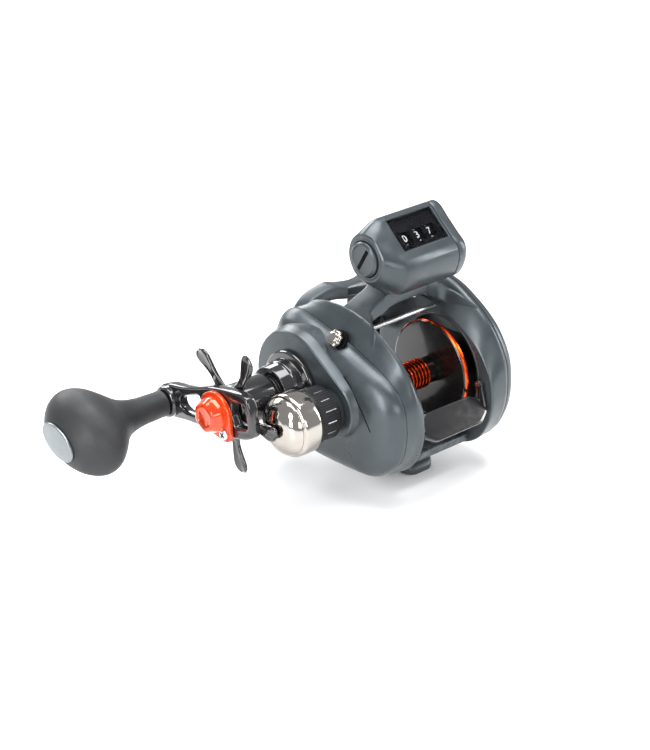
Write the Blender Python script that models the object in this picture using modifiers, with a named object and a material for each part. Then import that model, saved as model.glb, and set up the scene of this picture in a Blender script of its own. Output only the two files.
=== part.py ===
"""Low-profile line-counter trolling reel, left-hand retrieve.

Every length below is in millimetres and is turned into metres by MM when a mesh is made.
Stations are measured from the spool's centre: +X towards the palm side, +Y forward along the
rod, +Z away from the rod.  The world origin is the middle of the foot's flat underside.
"""
from math import acos, atan2, cos, hypot, pi, radians, sin

import bmesh
import bpy
from mathutils import Matrix, Vector

MM = 0.001
GAP = 0.3                      # running and joint clearance

# The spool axis lies along X.  The foot's middle is below and in front of it.
AXIS_HEIGHT = 41.0
AXIS_BACK = 18.0

# Drive train
DRIVE_Y = 24.0
DRIVE_Z = 2.5
MAIN_TEETH = 54
PINION_TEETH = 10
WORM_DISTANCE = 14.0           # drive axis to level-wind axis
WORM_ANGLE = radians(24.0)
WIND_TEETH = 24
WORM_TEETH = 16
WORM_Y = DRIVE_Y + WORM_DISTANCE * cos(WORM_ANGLE)
WORM_Z = DRIVE_Z + WORM_DISTANCE * sin(WORM_ANGLE)

# Frame
WALL_IN = 19.5                 # inner faces of the side rings
LEFT_WEB = 25.0                # outer faces of their webs
RIGHT_WEB = 22.5
DOOR_R = 22.6                  # the spool's openings in the rings
SEAM = 29.2                    # where the side covers meet the rings
FLANGE_R = 22.0
SPOOL_RIGHT = 16.0             # outer faces of the flanges
SPOOL_LEFT = -21.4
ARBOR_GROOVES = 6
GROOVE_PITCH = 4.6

WORM_GROOVES = 5
GUIDE_X = 9.0                  # where the line guide rests

# Handle
ARM_REACH = 33.7
ARM_TILT = radians(-12.0)
CAP_END = -74.2                # the cast-control dome; the star turns just outside it
STAR_IN = CAP_END - 0.5
STAR_OUT = -77.4
ARM_IN = STAR_OUT - 0.7
ARM_OUT = ARM_IN - 5.0
LUG_OUT = ARM_OUT - 3.0
KNOB_Y = DRIVE_Y + ARM_REACH * cos(ARM_TILT)
KNOB_Z = DRIVE_Z + ARM_REACH * sin(ARM_TILT)
KNOB_MID = -126.0

# Counter
DRUM_Y = 2.4
DRUM_Z = 60.0
COUNTER_LEFT = -22.3
COUNTER_SEAM = 15.2
COUNTER_RIGHT = 20.8
FACE_TILT = radians(39.0)      # the reading face falls towards the angler
FACE_TOP = (4.5, 74.3)
COUNTER_TEETH = 15
UNITS_TEETH = 30
STUB_Y = -3.6
STUB_Z = 51.5

# Side outlines as (y, z), from the rear middle over the top to the front and back below.
RING = [(-31.5, 0), (-30.5, 8), (-27.5, 15), (-22.5, 22), (-16, 27.5), (-8.5, 32), (0, 36),
        (9, 38), (18, 38.2), (27, 37), (34.5, 34), (39.5, 29), (42, 22), (42, 14), (39.5, 7),
        (34, 0), (29.5, -7), (25, -14), (18.5, -21), (10.5, -27), (1, -31.5), (-8, -33),
        (-17, -30.5), (-24.5, -24.5), (-29.3, -15.5), (-31.3, -7.5)]
GEAR_SIDE = [(-31, -1), (-29.5, 6), (-26, 11), (-20.5, 15), (-14, 18), (-6, 21), (2, 23.5),
             (10, 25.5), (18, 27), (27, 28.8), (35, 29.4), (42, 26.8), (46, 20.5), (47.2, 12),
             (47.3, 2.5), (46, -6), (42.5, -15), (37, -22.5), (30.5, -28), (21, -32),
             (8, -32.3), (-5, -31.5), (-15, -30.3), (-23, -25), (-29, -17), (-31, -8.5)]
COUNTER = [(4.5, 74.3), (9.3, 72), (12.6, 66), (13, 59), (11.8, 52), (8.5, 45.5), (2, 43.6),
           (-6, 43.9), (-10.8, 47), (-13.4, 52), (-14, 57), (-12.4, 60.8), (-8.5, 63.8),
           (-2, 69.1)]

for old in list(bpy.data.objects):
    bpy.data.objects.remove(old, do_unlink=True)

PARTS = bpy.data.collections.new("trolling_reel")
CUTTERS = bpy.data.collections.new("cutters")
bpy.context.scene.collection.children.link(PARTS)
bpy.context.scene.collection.children.link(CUTTERS)

AXIS = bpy.data.objects.new("spool_axis", None)
AXIS.location = (0.0, -AXIS_BACK * MM, AXIS_HEIGHT * MM)
PARTS.objects.link(AXIS)


# ---------------------------------------------------------------- materials

def finish(name, colour, roughness, metallic):
    """A Principled material."""
    material = bpy.data.materials.new(name)
    material.use_nodes = True
    shader = material.node_tree.nodes["Principled BSDF"]
    shader.inputs["Base Color"].default_value = (*colour, 1.0)
    shader.inputs["Roughness"].default_value = roughness
    shader.inputs["Metallic"].default_value = metallic
    return material


GUNMETAL = finish("gunmetal_paint", (0.10, 0.11, 0.12), 0.42, 0.6)
GLOSS_BLACK = finish("gloss_black", (0.012, 0.012, 0.013), 0.12, 0.5)
CHROME = finish("chrome", (0.75, 0.73, 0.70), 0.06, 1.0)
ORANGE = finish("orange_anodised", (0.75, 0.09, 0.02), 0.22, 1.0)
RUBBER = finish("dark_rubber", (0.035, 0.037, 0.038), 0.75, 0.0)
SILVER = finish("satin_silver", (0.55, 0.57, 0.57), 0.3, 1.0)
STEEL = finish("steel", (0.42, 0.42, 0.42), 0.3, 1.0)
BRASS = finish("brass", (0.60, 0.42, 0.15), 0.3, 1.0)
BLACK_PLASTIC = finish("black_plastic", (0.01, 0.01, 0.01), 0.4, 0.0)
GLASS = finish("clear_window", (0.05, 0.05, 0.05), 0.05, 0.0)
WHITE_PLASTIC = finish("drum_plastic", (0.02, 0.02, 0.02), 0.5, 0.0)


# ---------------------------------------------------------------- making objects

def add(name, data, material, at=(0, 0, 0), turn=(0, 0, 0)):
    """Link a named part at a station given in millimetres from the spool's centre."""
    obj = bpy.data.objects.new(name, data)
    data.materials.append(material)
    PARTS.objects.link(obj)
    obj.parent = AXIS
    obj.location = Vector(at) * MM
    obj.rotation_euler = turn
    return obj


def as_cutter(obj):
    """Move a shape that only cuts or joins another one out of the parts."""
    PARTS.objects.unlink(obj)
    CUTTERS.objects.link(obj)
    obj.hide_render = True
    obj.display_type = "WIRE"
    return obj


def shade(mesh, angle=35.0):
    """Smooth faces with sharp edges kept."""
    mesh.shade_smooth()
    mesh.set_sharp_from_angle(angle=radians(angle))


def combine(obj, other, operation):
    """Boolean one shape with another."""
    modifier = obj.modifiers.new(operation.lower(), "BOOLEAN")
    modifier.operation = operation
    modifier.solver = "EXACT"
    modifier.object = as_cutter(other)
    return obj


def cut(obj, other):
    return combine(obj, other, "DIFFERENCE")


def join(obj, other):
    return combine(obj, other, "UNION")


def round_edges(obj, width, segments=2):
    """Bevel the sharp edges."""
    modifier = obj.modifiers.new("rounded", "BEVEL")
    modifier.width = width * MM
    modifier.segments = segments
    modifier.limit_method = "ANGLE"
    modifier.angle_limit = radians(35)
    return obj


def facets(radius):
    """Number of sides of a round piece."""
    if radius < 3.0:
        return 12
    if radius < 7.0:
        return 20
    return 28 if radius < 14.0 else 36


ALONG_X = (0.0, pi / 2, 0.0)
ALONG_Y = (-pi / 2, 0.0, 0.0)
UPRIGHT = (0.0, 0.0, 0.0)


def turned(name, outline, material, at=(0, 0, 0), turn=ALONG_X, ring=False, sides=0):
    """A turned shape.  The outline is (radius, station) down the outer side.

    A ring's outline goes on up its bore and closes on itself."""
    mesh = bpy.data.meshes.new(name)
    points = [(r * MM, 0.0, z * MM) for r, z in outline]
    edges = [(i, i + 1) for i in range(len(points) - 1)]
    if ring:
        edges.append((len(points) - 1, 0))
    mesh.from_pydata(points, edges, [])
    obj = add(name, mesh, material, at, turn)
    screw = obj.modifiers.new("turned", "SCREW")
    screw.steps = sides or facets(max(r for r, _ in outline))
    screw.render_steps = screw.steps
    screw.use_merge_vertices = True
    screw.merge_threshold = 0.00001
    screw.use_smooth_shade = True
    return obj


def rod(name, radius, low, high, material, at=(0, 0), turn=ALONG_X):
    """A plain round bar along X between two stations, at (y, z)."""
    return turned(name, [(0, high), (radius, high), (radius, low), (0, low)], material,
                  (0, at[0], at[1]), turn)


def sleeve(name, outer, inner, low, high, material, at=(0, 0)):
    """A plain tube along X between two stations, at (y, z)."""
    outline = [(outer, high), (outer, low), (inner, low), (inner, high)]
    return turned(name, outline, material, (0, at[0], at[1]), ring=True)


def smooth_outline(points, per_point=2):
    """A closed Catmull-Rom curve through the points."""
    curve = []
    count = len(points)
    for i in range(count):
        p0, p1, p2, p3 = (Vector(points[(i + k) % count]) for k in (-1, 0, 1, 2))
        for step in range(per_point):
            t = step / per_point
            curve.append(0.5 * (2 * p1 + (p2 - p0) * t
                                + (2 * p0 - 5 * p1 + 4 * p2 - p3) * t * t
                                + (3 * p1 - p0 - 3 * p2 + p3) * t ** 3))
    return curve


def lower_top(points, drop):
    """Squeeze an outline's height so that its top comes down by the given drop."""
    low = min(z for _, z in points)
    high = max(z for _, z in points)
    return [(y, low + (z - low) * (high - drop - low) / (high - low)) for y, z in points]


def shrink(points, scale, centre):
    """Scale an outline about a centre."""
    cy, cz = centre
    return [(cy + (y - cy) * scale, cz + (z - cz) * scale) for y, z in points]


def blend(first, second, share):
    """A mean of two outlines that have as many points."""
    return [(a[0] + (b[0] - a[0]) * share, a[1] + (b[1] - a[1]) * share)
            for a, b in zip(first, second)]


def loft(name, sections, material, open_start=False, smooth=True, at=(0, 0, 0), turn=UPRIGHT):
    """A body through outlines at stations along X.  Each section is (x, outline)."""
    mesh = bpy.data.meshes.new(name)
    bm = bmesh.new()
    rings = []
    for x, outline in sections:
        curve = smooth_outline(outline) if smooth else [Vector(p) for p in outline]
        rings.append([bm.verts.new((x * MM, p.x * MM, p.y * MM)) for p in curve])
    for low, high in zip(rings, rings[1:]):
        for i in range(len(low)):
            k = (i + 1) % len(low)
            bm.faces.new((low[i], low[k], high[k], high[i]))
    if not open_start:
        bm.faces.new(rings[0])
    bm.faces.new(rings[-1])
    bmesh.ops.recalc_face_normals(bm, faces=bm.faces)
    if open_start:
        outward(bm)
    bm.to_mesh(mesh)
    bm.free()
    shade(mesh, 30.0)
    return add(name, mesh, material, at, turn)


def outward(bm):
    """Turn an open surface's faces away from its middle."""
    middle = sum((v.co for v in bm.verts), Vector()) / len(bm.verts)
    facing = sum((f.calc_center_median() - middle).dot(f.normal) for f in bm.faces)
    if facing < 0:
        bmesh.ops.reverse_faces(bm, faces=bm.faces)


def rounded_box_section(low, high, corner):
    """An eight-sided section with cut corners, between two corners of a rectangle."""
    (a0, b0), (a1, b1) = low, high
    c = corner
    return [(a0, b0 + c), (a0, b1 - c), (a0 + c, b1), (a1 - c, b1), (a1, b1 - c), (a1, b0 + c),
            (a1 - c, b0), (a0 + c, b0)]


SWAP = {"X": Matrix.Identity(3),
        "Y": Matrix(((0, 1, 0), (1, 0, 0), (0, 0, 1)))}


def bar(name, stations, material, corner=1.0, along="X", at=(0, 0, 0), turn=UPRIGHT):
    """A bar through rectangles.  A station is (place, low corner, high corner).

    The corners are (y, z) along X, and (x, z) along Y."""
    sections = [(s, rounded_box_section(low, high, corner)) for s, low, high in stations]
    obj = loft(name, sections, material, smooth=False, at=at, turn=turn)
    if along == "Y":
        obj.data.transform(SWAP["Y"].to_4x4())
        obj.data.flip_normals()
    return obj


def block(name, low, high, material, bevel=0.0):
    """A box between two corners."""
    mesh = bpy.data.meshes.new(name)
    size = [(b - a) * MM for a, b in zip(low, high)]
    middle = [(a + b) / 2 for a, b in zip(low, high)]
    bm = bmesh.new()
    bmesh.ops.create_cube(bm, size=1.0, matrix=Matrix.Diagonal((*size, 1.0)))
    bm.to_mesh(mesh)
    bm.free()
    obj = add(name, mesh, material, middle)
    if bevel:
        round_edges(obj, bevel)
    return obj


def flat(name, outlines, thickness, material, at=(0, 0, 0), turn=ALONG_X):
    """A flat outline, with any holes, as a mesh plate centred on its station."""
    curve = bpy.data.curves.new(name, "CURVE")
    curve.dimensions = "2D"
    curve.fill_mode = "BOTH"
    curve.extrude = thickness * MM / 2
    for outline in outlines:
        spline = curve.splines.new("POLY")
        spline.points.add(len(outline) - 1)
        for point, (u, v) in zip(spline.points, outline):
            point.co = (u * MM, v * MM, 0.0, 1.0)
        spline.use_cyclic_u = True
    guide = bpy.data.objects.new(name + "_outline", curve)
    PARTS.objects.link(guide)
    bpy.context.view_layer.update()
    evaluated = guide.evaluated_get(bpy.context.evaluated_depsgraph_get())
    mesh = bpy.data.meshes.new_from_object(evaluated)
    bpy.data.objects.remove(guide, do_unlink=True)
    bm = bmesh.new()
    bm.from_mesh(mesh)
    bmesh.ops.remove_doubles(bm, verts=bm.verts, dist=0.000001)
    bmesh.ops.recalc_face_normals(bm, faces=bm.faces)
    bm.to_mesh(mesh)
    bm.free()
    mesh.name = name
    return add(name, mesh, material, at, turn)


def circle(radius, count=0, centre=(0, 0)):
    """A round outline."""
    count = count or facets(radius)
    return [(centre[0] + radius * cos(2 * pi * i / count),
             centre[1] + radius * sin(2 * pi * i / count)) for i in range(count)]


def gear(name, teeth, pitch_radius, low, high, bore, material, at, phase=0.0):
    """A spur gear along X.  The phase is the angle of a tooth, from straight down."""
    module = 2 * pitch_radius / teeth
    tip = pitch_radius + 0.45 * module
    root = pitch_radius - 0.75 * module
    step = 2 * pi / teeth
    outline = []
    for i in range(teeth):
        middle = phase + i * step
        for share, radius in ((-0.27, root), (-0.11, tip), (0.11, tip), (0.27, root)):
            angle = middle + share * step
            outline.append((radius * cos(angle), radius * sin(angle)))
    plate = flat(name, [outline, circle(bore)], high - low, material,
                 ((low + high) / 2, at[0], at[1]))
    return plate


def direction(dy, dz):
    """A direction in the side view as an angle of a plate's own outline."""
    return atan2(dy, -dz)


def side_plate_outline(points):
    """Points given as (y, z) in the outline axes of a plate that is turned along X."""
    return [(-z, y) for y, z in points]


def stadium(first, r1, second, r2, count=30):
    """The outline around two circles, as (y, z)."""
    (y1, z1), (y2, z2) = first, second
    along = atan2(z2 - z1, y2 - y1)
    spread = acos((r1 - r2) / hypot(y2 - y1, z2 - z1))
    rest = pi - spread
    points = []
    for k in range(count + 1):
        angle = along - spread + 2 * spread * k / count
        points.append((y2 + r2 * cos(angle), z2 + r2 * sin(angle)))
    for k in range(count // 2 + 1):
        angle = along + spread + 2 * rest * k / (count // 2)
        points.append((y1 + r1 * cos(angle), z1 + r1 * sin(angle)))
    return points


SPOOL_AT = (0.0, 0.0)
DRIVE_AT = (DRIVE_Y, DRIVE_Z)
WORM_AT = (WORM_Y, WORM_Z)
KNOB_AT = (KNOB_Y, KNOB_Z)
DRUM_AT = (DRUM_Y, DRUM_Z)


# ---------------------------------------------------------------- frame

def frame():
    """Two side rings joined by the arched bridge, the front hood and the floor."""
    left = [(-SEAM, GEAR_SIDE), (-26.0, blend(lower_top(RING, 3.0), GEAR_SIDE, 0.45)),
            (-23.0, lower_top(RING, 3.0)), (-WALL_IN, lower_top(RING, 9.5))]
    right = [(WALL_IN, lower_top(RING, 9.5)), (25.5, lower_top(RING, 1.5)), (27.5, RING),
             (SEAM, shrink(RING, 0.985, (3, 0)))]
    obj = loft("frame", left, GUNMETAL)
    join(obj, loft("right_ring", right, GUNMETAL))
    for side, web, outline in ((-1, LEFT_WEB, GEAR_SIDE),
                               (1, RIGHT_WEB, lower_top(RING, 3.0))):
        inner = [(side * web, shrink(lower_top(RING, 5.0), 0.88, (4, 0))),
                 (side * (SEAM + 1.0), shrink(outline, 0.92, (6, -1)))]
        cut(obj, loft(f"pocket_{side}", sorted(inner, key=lambda s: s[0]), GUNMETAL))
    join(obj, rod("left_bearing_boss", 8.0, -27.0, -22.5, GUNMETAL))
    join(obj, bridge())
    join(obj, hood())
    join(obj, bar("spine", [(10.0, (-9.0, 37.0), (9.0, 42.6)), (20.0, (-7.0, 33.8), (7.0, 39.0)),
                            (30.0, (-8.0, 30.0), (8.0, 34.4))], GUNMETAL, 1.5, along="Y"))
    join(obj, bar("floor", [(-21.0, (-18.0, -29.8), (20.0, -26.0)),
                            (21.0, (-18.0, -29.8), (8.0, -26.0))], GUNMETAL))
    join(obj, block("foot_pad", (-8.5, -6.0, -33.7), (8.5, 18.0, -28.0), GUNMETAL))
    cut(obj, rod("spool_door", DOOR_R, 18.0, 23.5, GUNMETAL))
    cut(obj, rod("spool_recess", DOOR_R, -22.0, -18.0, GUNMETAL))
    cut(obj, rod("left_bearing_seat", 5.0 + GAP, -27.5, -21.6, GUNMETAL))
    cut(obj, rod("worm_left", 2.0 + GAP, -30.0, -19.0, GUNMETAL, WORM_AT))
    cut(obj, rod("worm_right", 2.0 + GAP, 19.0, 21.5, GUNMETAL, WORM_AT))
    for side in (-1, 1):
        for name, radius, place in (("cross", 1.0, CROSS_AT), ("guide", 1.2, GUIDE_AT),
                                    ("thumb", 1.0, THUMB_AT)):
            low, high = sorted((side * 19.0, side * 21.5))
            cut(obj, rod(f"{name}_hole_{side}", radius + GAP, low, high, GUNMETAL, place))
    cut(obj, rod("drive_seat", 3.0 + GAP, -27.0, -22.8, GUNMETAL, DRIVE_AT))
    for y in RIVETS_Y:
        cut(obj, turned(f"rivet_way_{y}", [(0, -25.0), (2.6, -25.0), (2.6, -27.4), (1.5, -27.4),
                                           (1.5, -34.5), (0, -34.5)], GUNMETAL, (0, y, 0),
                        UPRIGHT))
    for x in COUNTER_SCREWS_X:
        cut(obj, rod_up(f"counter_way_{x}", 1.5, 34.0, 44.0, (x, 4.0)))
    for name, place in COVER_SCREWS.items():
        cut(obj, rod(f"{name}_head_way", 2.2 + GAP, -23.5, -21.0, GUNMETAL, place))
        cut(obj, rod(f"{name}_way", 1.0 + GAP, -26.0, -23.0, GUNMETAL, place))
    return obj


def rod_up(name, radius, low, high, at):
    """A plain upright round bar at (x, y)."""
    outline = [(0, high), (radius, high), (radius, low), (0, low)]
    return turned(name, outline, STEEL, (at[0], at[1], 0), UPRIGHT)


def bridge():
    """The arch over the spool that carries the counter, with wide legs into the rings."""
    crown = ((-1.0, 36.6), (14.0, 43.2))
    stations = [(-27.0, (-8.0, 12.0), (20.0, 24.0)), (-24.0, (-6.0, 20.0), (19.0, 31.0)),
                (-20.0, (1.5, 28.8), (16.0, 36.0)), (-13.0, (0.5, 33.6), (14.0, 40.6)),
                (-8.0, *crown), (8.0, *crown),
                (13.0, (0.5, 33.6), (14.0, 41.5)), (20.0, (0.0, 29.3), (16.0, 37.5)),
                (24.0, (-8.0, 22.0), (19.0, 34.0)), (27.0, (-14.0, 14.0), (22.0, 30.0))]
    return bar("bridge", stations, GUNMETAL, 1.5)


def hood():
    """The front cross bar, lowest at its middle, which flows down into both rings."""
    half = [(8.0, (29.0, 29.0), (38.5, 34.6)), (13.0, (31.0, 29.3), (39.5, 35.6)),
            (20.0, (32.5, 28.6), (41.0, 33.6)), (25.0, (33.5, 25.5), (41.0, 31.2)),
            (28.8, (34.0, 21.5), (41.0, 27.0))]
    left = [(-x, low, high) for x, low, high in reversed(half)]
    return bar("hood", left + [(0.0, (27.0, 28.8), (37.5, 33.8))] + half, GUNMETAL, 1.5)


COVER_SCREWS = {"cover_screw_upper": (-17.0, 9.0), "cover_screw_lower": (-17.0, -14.0)}
CROSS_AT = (4.3, 26.5)
GUIDE_AT = (39.0, 17.5)
THUMB_AT = (-25.0, 0.5)
RIVETS_Y = (0.0, 13.0)
COUNTER_SCREWS_X = (-6.0, 6.0)


def foot():
    """The foot that a reel seat's hoods clamp, riveted under the floor."""
    obj = bar("reel_foot", [(-10.5, (-4.5, -41.0), (4.5, -38.6)),
                            (-8.5, (-7.0, -41.0), (7.0, -36.6)),
                            (-3.0, (-8.0, -41.0), (8.0, -34.0)),
                            (20.0, (-8.0, -41.0), (8.0, -34.0)),
                            (31.0, (-8.0, -41.0), (8.0, -37.5)),
                            (44.5, (-7.0, -41.0), (7.0, -38.8)),
                            (46.5, (-4.5, -41.0), (4.5, -39.0))], GUNMETAL, 0.9, along="Y")
    for y in RIVETS_Y:
        cut(obj, rod_up(f"rivet_hole_{y}", 1.5, -38.0, -33.0, (0, y)))
    return obj


def foot_rivets():
    """Rivets from the floor down into the foot."""
    outline = [(0, -26.1), (2.3, -26.1), (2.3, -27.1), (1.2, -27.1), (1.2, -37.7), (0, -37.7)]
    for name, y in zip(("foot_rivet_rear", "foot_rivet_front"), RIVETS_Y):
        turned(name, outline, STEEL, (0, y, 0), UPRIGHT)


def gear_side_cover():
    """The gear-side shell with its raised platform, hollow for the gears."""
    centre = (12.0, -2.0)
    shell = [(-SEAM - GAP, GEAR_SIDE), (-31.0, shrink(GEAR_SIDE, 0.995, centre)),
             (-33.4, shrink(GEAR_SIDE, 0.965, centre)),
             (-36.5, shrink(GEAR_SIDE, 0.89, centre)), (-38.8, shrink(GEAR_SIDE, 0.77, centre)),
             (-39.8, shrink(GEAR_SIDE, 0.6, centre))]
    obj = loft("gear_side_cover", shell, GUNMETAL, open_start=True)
    wall = obj.modifiers.new("wall", "SOLIDIFY")
    wall.thickness = 1.8 * MM
    wall.offset = -1.0
    platform = stadium(SPOOL_AT, 12.6, DRIVE_AT, 23.0)
    raised = flat("platform", [side_plate_outline(platform)], 11.3, GUNMETAL, (-37.65, 0, 0))
    join(obj, round_edges(raised, 0.9))
    hollow = stadium(SPOOL_AT, 10.6, DRIVE_AT, 21.5)
    cut(obj, flat("gear_room", [side_plate_outline(hollow)], 13.0, GUNMETAL, (-34.8, 0, 0)))
    join(obj, sleeve("tension_boss", 8.5, 6.0, -64.0, -41.5, GUNMETAL))
    cut(obj, rod("drive_opening", 8.0, -45.0, -40.0, GUNMETAL, DRIVE_AT))
    cut(obj, rod("shaft_opening", 5.0, -44.0, -40.0, GUNMETAL))
    cut(obj, slanted_rod("clicker_opening", [(0, 12), (3.5, 12), (3.5, 2.3), (1.5, 2.3),
                                             (1.5, -6), (0, -6)]))
    for name, place in COVER_SCREWS.items():
        join(obj, rod(f"{name}_boss", 3.0, -37.5, -SEAM - GAP, GUNMETAL, place))
        cut(obj, rod(f"{name}_thread", 1.0 + GAP, -34.0, -29.0, GUNMETAL, place))
    return obj


CLICKER_AT = (-30.5, 7.5, 23.5)
CLICKER_LEAN = radians(-52.0)


def slanted_rod(name, outline, material=CHROME):
    """A turned piece on the clicker's slanted axis, which points out of the cover."""
    return turned(name, outline, material, CLICKER_AT, (0, CLICKER_LEAN, 0))


def palm_side_cover():
    """The palm-side shell."""
    centre = (3.0, 0.0)
    base = shrink(RING, 0.985, centre)
    shell = [(SEAM + GAP, base), (31.0, shrink(base, 0.995, centre)),
             (33.0, shrink(base, 0.965, centre)),
             (34.7, shrink(base, 0.88, centre)), (35.6, shrink(base, 0.74, centre))]
    mirrored = [(-x, outline) for x, outline in shell]
    obj = loft("palm_side_cover", mirrored, GUNMETAL, open_start=True)
    obj.data.transform(Matrix.Diagonal((-1, 1, 1, 1)))
    obj.data.flip_normals()
    wall = obj.modifiers.new("wall", "SOLIDIFY")
    wall.thickness = 1.8 * MM
    wall.offset = -1.0
    return obj


def frame_details():
    """The bars, bearings, plate and screws that are fixed to the frame."""
    rod("cross_bar", 1.0, -21.2, 21.2, SILVER, CROSS_AT)
    rod("guide_bar", 1.2, -21.2, 21.2, STEEL, GUIDE_AT)
    rod("thumb_pin_left", 1.0, -21.2, -17.0, SILVER, THUMB_AT)
    rod("thumb_pin_right", 1.0, 17.0, 21.2, SILVER, THUMB_AT)
    sleeve("spool_bearing_left", 5.0, 2.0 + GAP, -26.5, -22.4, STEEL)
    sleeve("spool_bearing_right", 5.0, 2.0 + GAP, 24.0, 28.5, STEEL)
    outline = [(20.0, 30.9), (20.0, 29.6), (7.5, 29.6), (7.5, 24.0), (5.0 + GAP, 24.0),
               (5.0 + GAP, 28.8), (2.5, 28.8), (2.5, 30.9)]
    turned("brake_plate", outline, BLACK_PLASTIC, ring=True)
    collar = [(15.2, -43.6), (15.2, -45.2), (14.6, -46.0), (12.0, -46.2), (12.0, -50.0),
              (11.4, -50.6), (11.0, -56.0), (4.2, -56.0), (4.2, -54.6), (7.7 + GAP, -54.6),
              (7.7 + GAP, -43.6)]
    turned("drive_collar", collar, GLOSS_BLACK, (0, DRIVE_Y, DRIVE_Z), ring=True)
    sleeve("one_way_bearing", 7.7, 3.0 + GAP, -54.2, -44.0, STEEL, DRIVE_AT)
    screw = [(0, -22.2), (2.2, -22.2), (2.2, -23.2), (1.0, -23.2), (1.0, -33.6), (0, -33.6)]
    for name, place in COVER_SCREWS.items():
        turned(name, screw, STEEL, (0, *place))


# ---------------------------------------------------------------- spool and drive

def spool():
    """The spool: two deep flanges with bright rims on a grooved arbor."""
    flange = [(2.0 + GAP, 0.0), (5.5, 0.0), (7.5, 1.6), (21.2, 1.6), (FLANGE_R, 0.6),
              (FLANGE_R, 2.2), (21.4, 3.0), (9.0, 3.4)]
    arbor = []
    middle = (SPOOL_RIGHT + SPOOL_LEFT) / 2
    for k in range(ARBOR_GROOVES):
        x = middle + (ARBOR_GROOVES - 1) * GROOVE_PITCH / 2 - k * GROOVE_PITCH
        arbor += [(6.6, x + 1.1), (5.9, x + 0.6), (5.9, x - 0.6), (6.6, x - 1.1)]
    right = [(r, SPOOL_RIGHT - depth) for r, depth in flange]
    left = [(r, SPOOL_LEFT + depth) for r, depth in reversed(flange)]
    turned("spool", right + arbor + left, ORANGE, ring=True)
    rod("spool_shaft", 2.0, -63.0, 28.6, STEEL)


def drive_train():
    """Main gear, pinion, drive shaft, drag stack, yoke and level-wind gears."""
    span = hypot(DRIVE_Y, DRIVE_Z)
    main_r = span * MAIN_TEETH / (MAIN_TEETH + PINION_TEETH)
    towards_spool = direction(-DRIVE_Y, -DRIVE_Z)
    gear("main_gear", MAIN_TEETH, main_r, -38.6, -35.2, 3.0 + GAP, BRASS, DRIVE_AT,
         towards_spool)
    teeth = gear("pinion_gear", PINION_TEETH, span - main_r, -39.6, -34.2, 2.0 + GAP, BRASS,
                 SPOOL_AT, towards_spool + pi + pi / PINION_TEETH)
    hub = [(3.9, -28.4), (3.9, -29.4), (2.9, -29.4), (2.9, -31.8), (3.2, -31.8),
           (3.2, -34.4), (2.0 + 1.5 * GAP, -34.4), (2.0 + 1.5 * GAP, -28.4)]
    join(teeth, turned("pinion_hub", hub, BRASS, ring=True))
    rod("drive_shaft", 3.0, ARM_OUT - 1.6, -23.2, STEEL, DRIVE_AT)
    towards_worm = direction(cos(WORM_ANGLE), sin(WORM_ANGLE))
    wind_r = WORM_DISTANCE * WIND_TEETH / (WIND_TEETH + WORM_TEETH)
    gear("level_wind_drive_gear", WIND_TEETH, wind_r, -34.2, -32.2, 3.0 + GAP, BLACK_PLASTIC,
         DRIVE_AT, towards_worm)
    gear("worm_gear", WORM_TEETH, WORM_DISTANCE - wind_r, -34.2, -32.2, 2.0 + GAP,
         BLACK_PLASTIC, WORM_AT, towards_worm + pi + pi / WORM_TEETH)
    sleeve("drag_washer", 15.0, 3.0 + GAP, -39.5, -38.9, RUBBER, DRIVE_AT)
    sleeve("pressure_plate", 14.0, 3.0 + GAP, -40.8, -39.8, STEEL, DRIVE_AT)
    spring = [(7.5, -56.4), (7.5, -56.9), (3.0 + GAP, -57.5), (3.0 + GAP, -57.0)]
    turned("star_spring", spring, STEEL, (0, DRIVE_Y, DRIVE_Z), ring=True)
    yoke = [(-10, -2.2), (-3.2, -4.6), (3.2, -4.6), (10, -2.2), (10, 2.2), (3.2, 4.6),
            (-3.2, 4.6), (-10, 2.2)]
    flat("clutch_yoke", [yoke, circle(2.9 + GAP, 16)], 1.2, BLACK_PLASTIC, (-30.6, 0, 0))


def worm_and_guide():
    """The level-wind screw with its pawl groove, and the guide it carries."""
    outline = [(0, 21.2), (2.0, 21.2), (2.0, 19.0), (2.6, 19.0)]
    for k in range(WORM_GROOVES):
        x = (WORM_GROOVES - 1 - 2 * k) * 3.5
        outline += [(2.6, x + 0.9), (2.1, x + 0.5), (2.1, x - 0.5), (2.6, x - 0.9)]
    outline += [(2.6, -19.0), (2.0, -19.0), (2.0, -34.8), (0, -34.8)]
    turned("worm_shaft", outline, STEEL, (0, WORM_Y, WORM_Z))
    low, high = GUIDE_X - 6.0, GUIDE_X + 6.0
    guide = block("line_guide", (low, 32.4, 4.0), (high, 42.2, 27.8), BLACK_PLASTIC, 1.2)
    cut(guide, rod("worm_bore", 2.6 + GAP, low - 1, high + 1, STEEL, WORM_AT))
    cut(guide, rod("guide_bore", 1.2 + GAP, low - 1, high + 1, STEEL, GUIDE_AT))
    eye = [(0, 50), (3.2, 50), (3.2, 25), (0, 25)]
    cut(guide, turned("eye_bore", eye, STEEL, (GUIDE_X, 0, 23.4), ALONG_Y))


# ---------------------------------------------------------------- handle side

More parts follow.
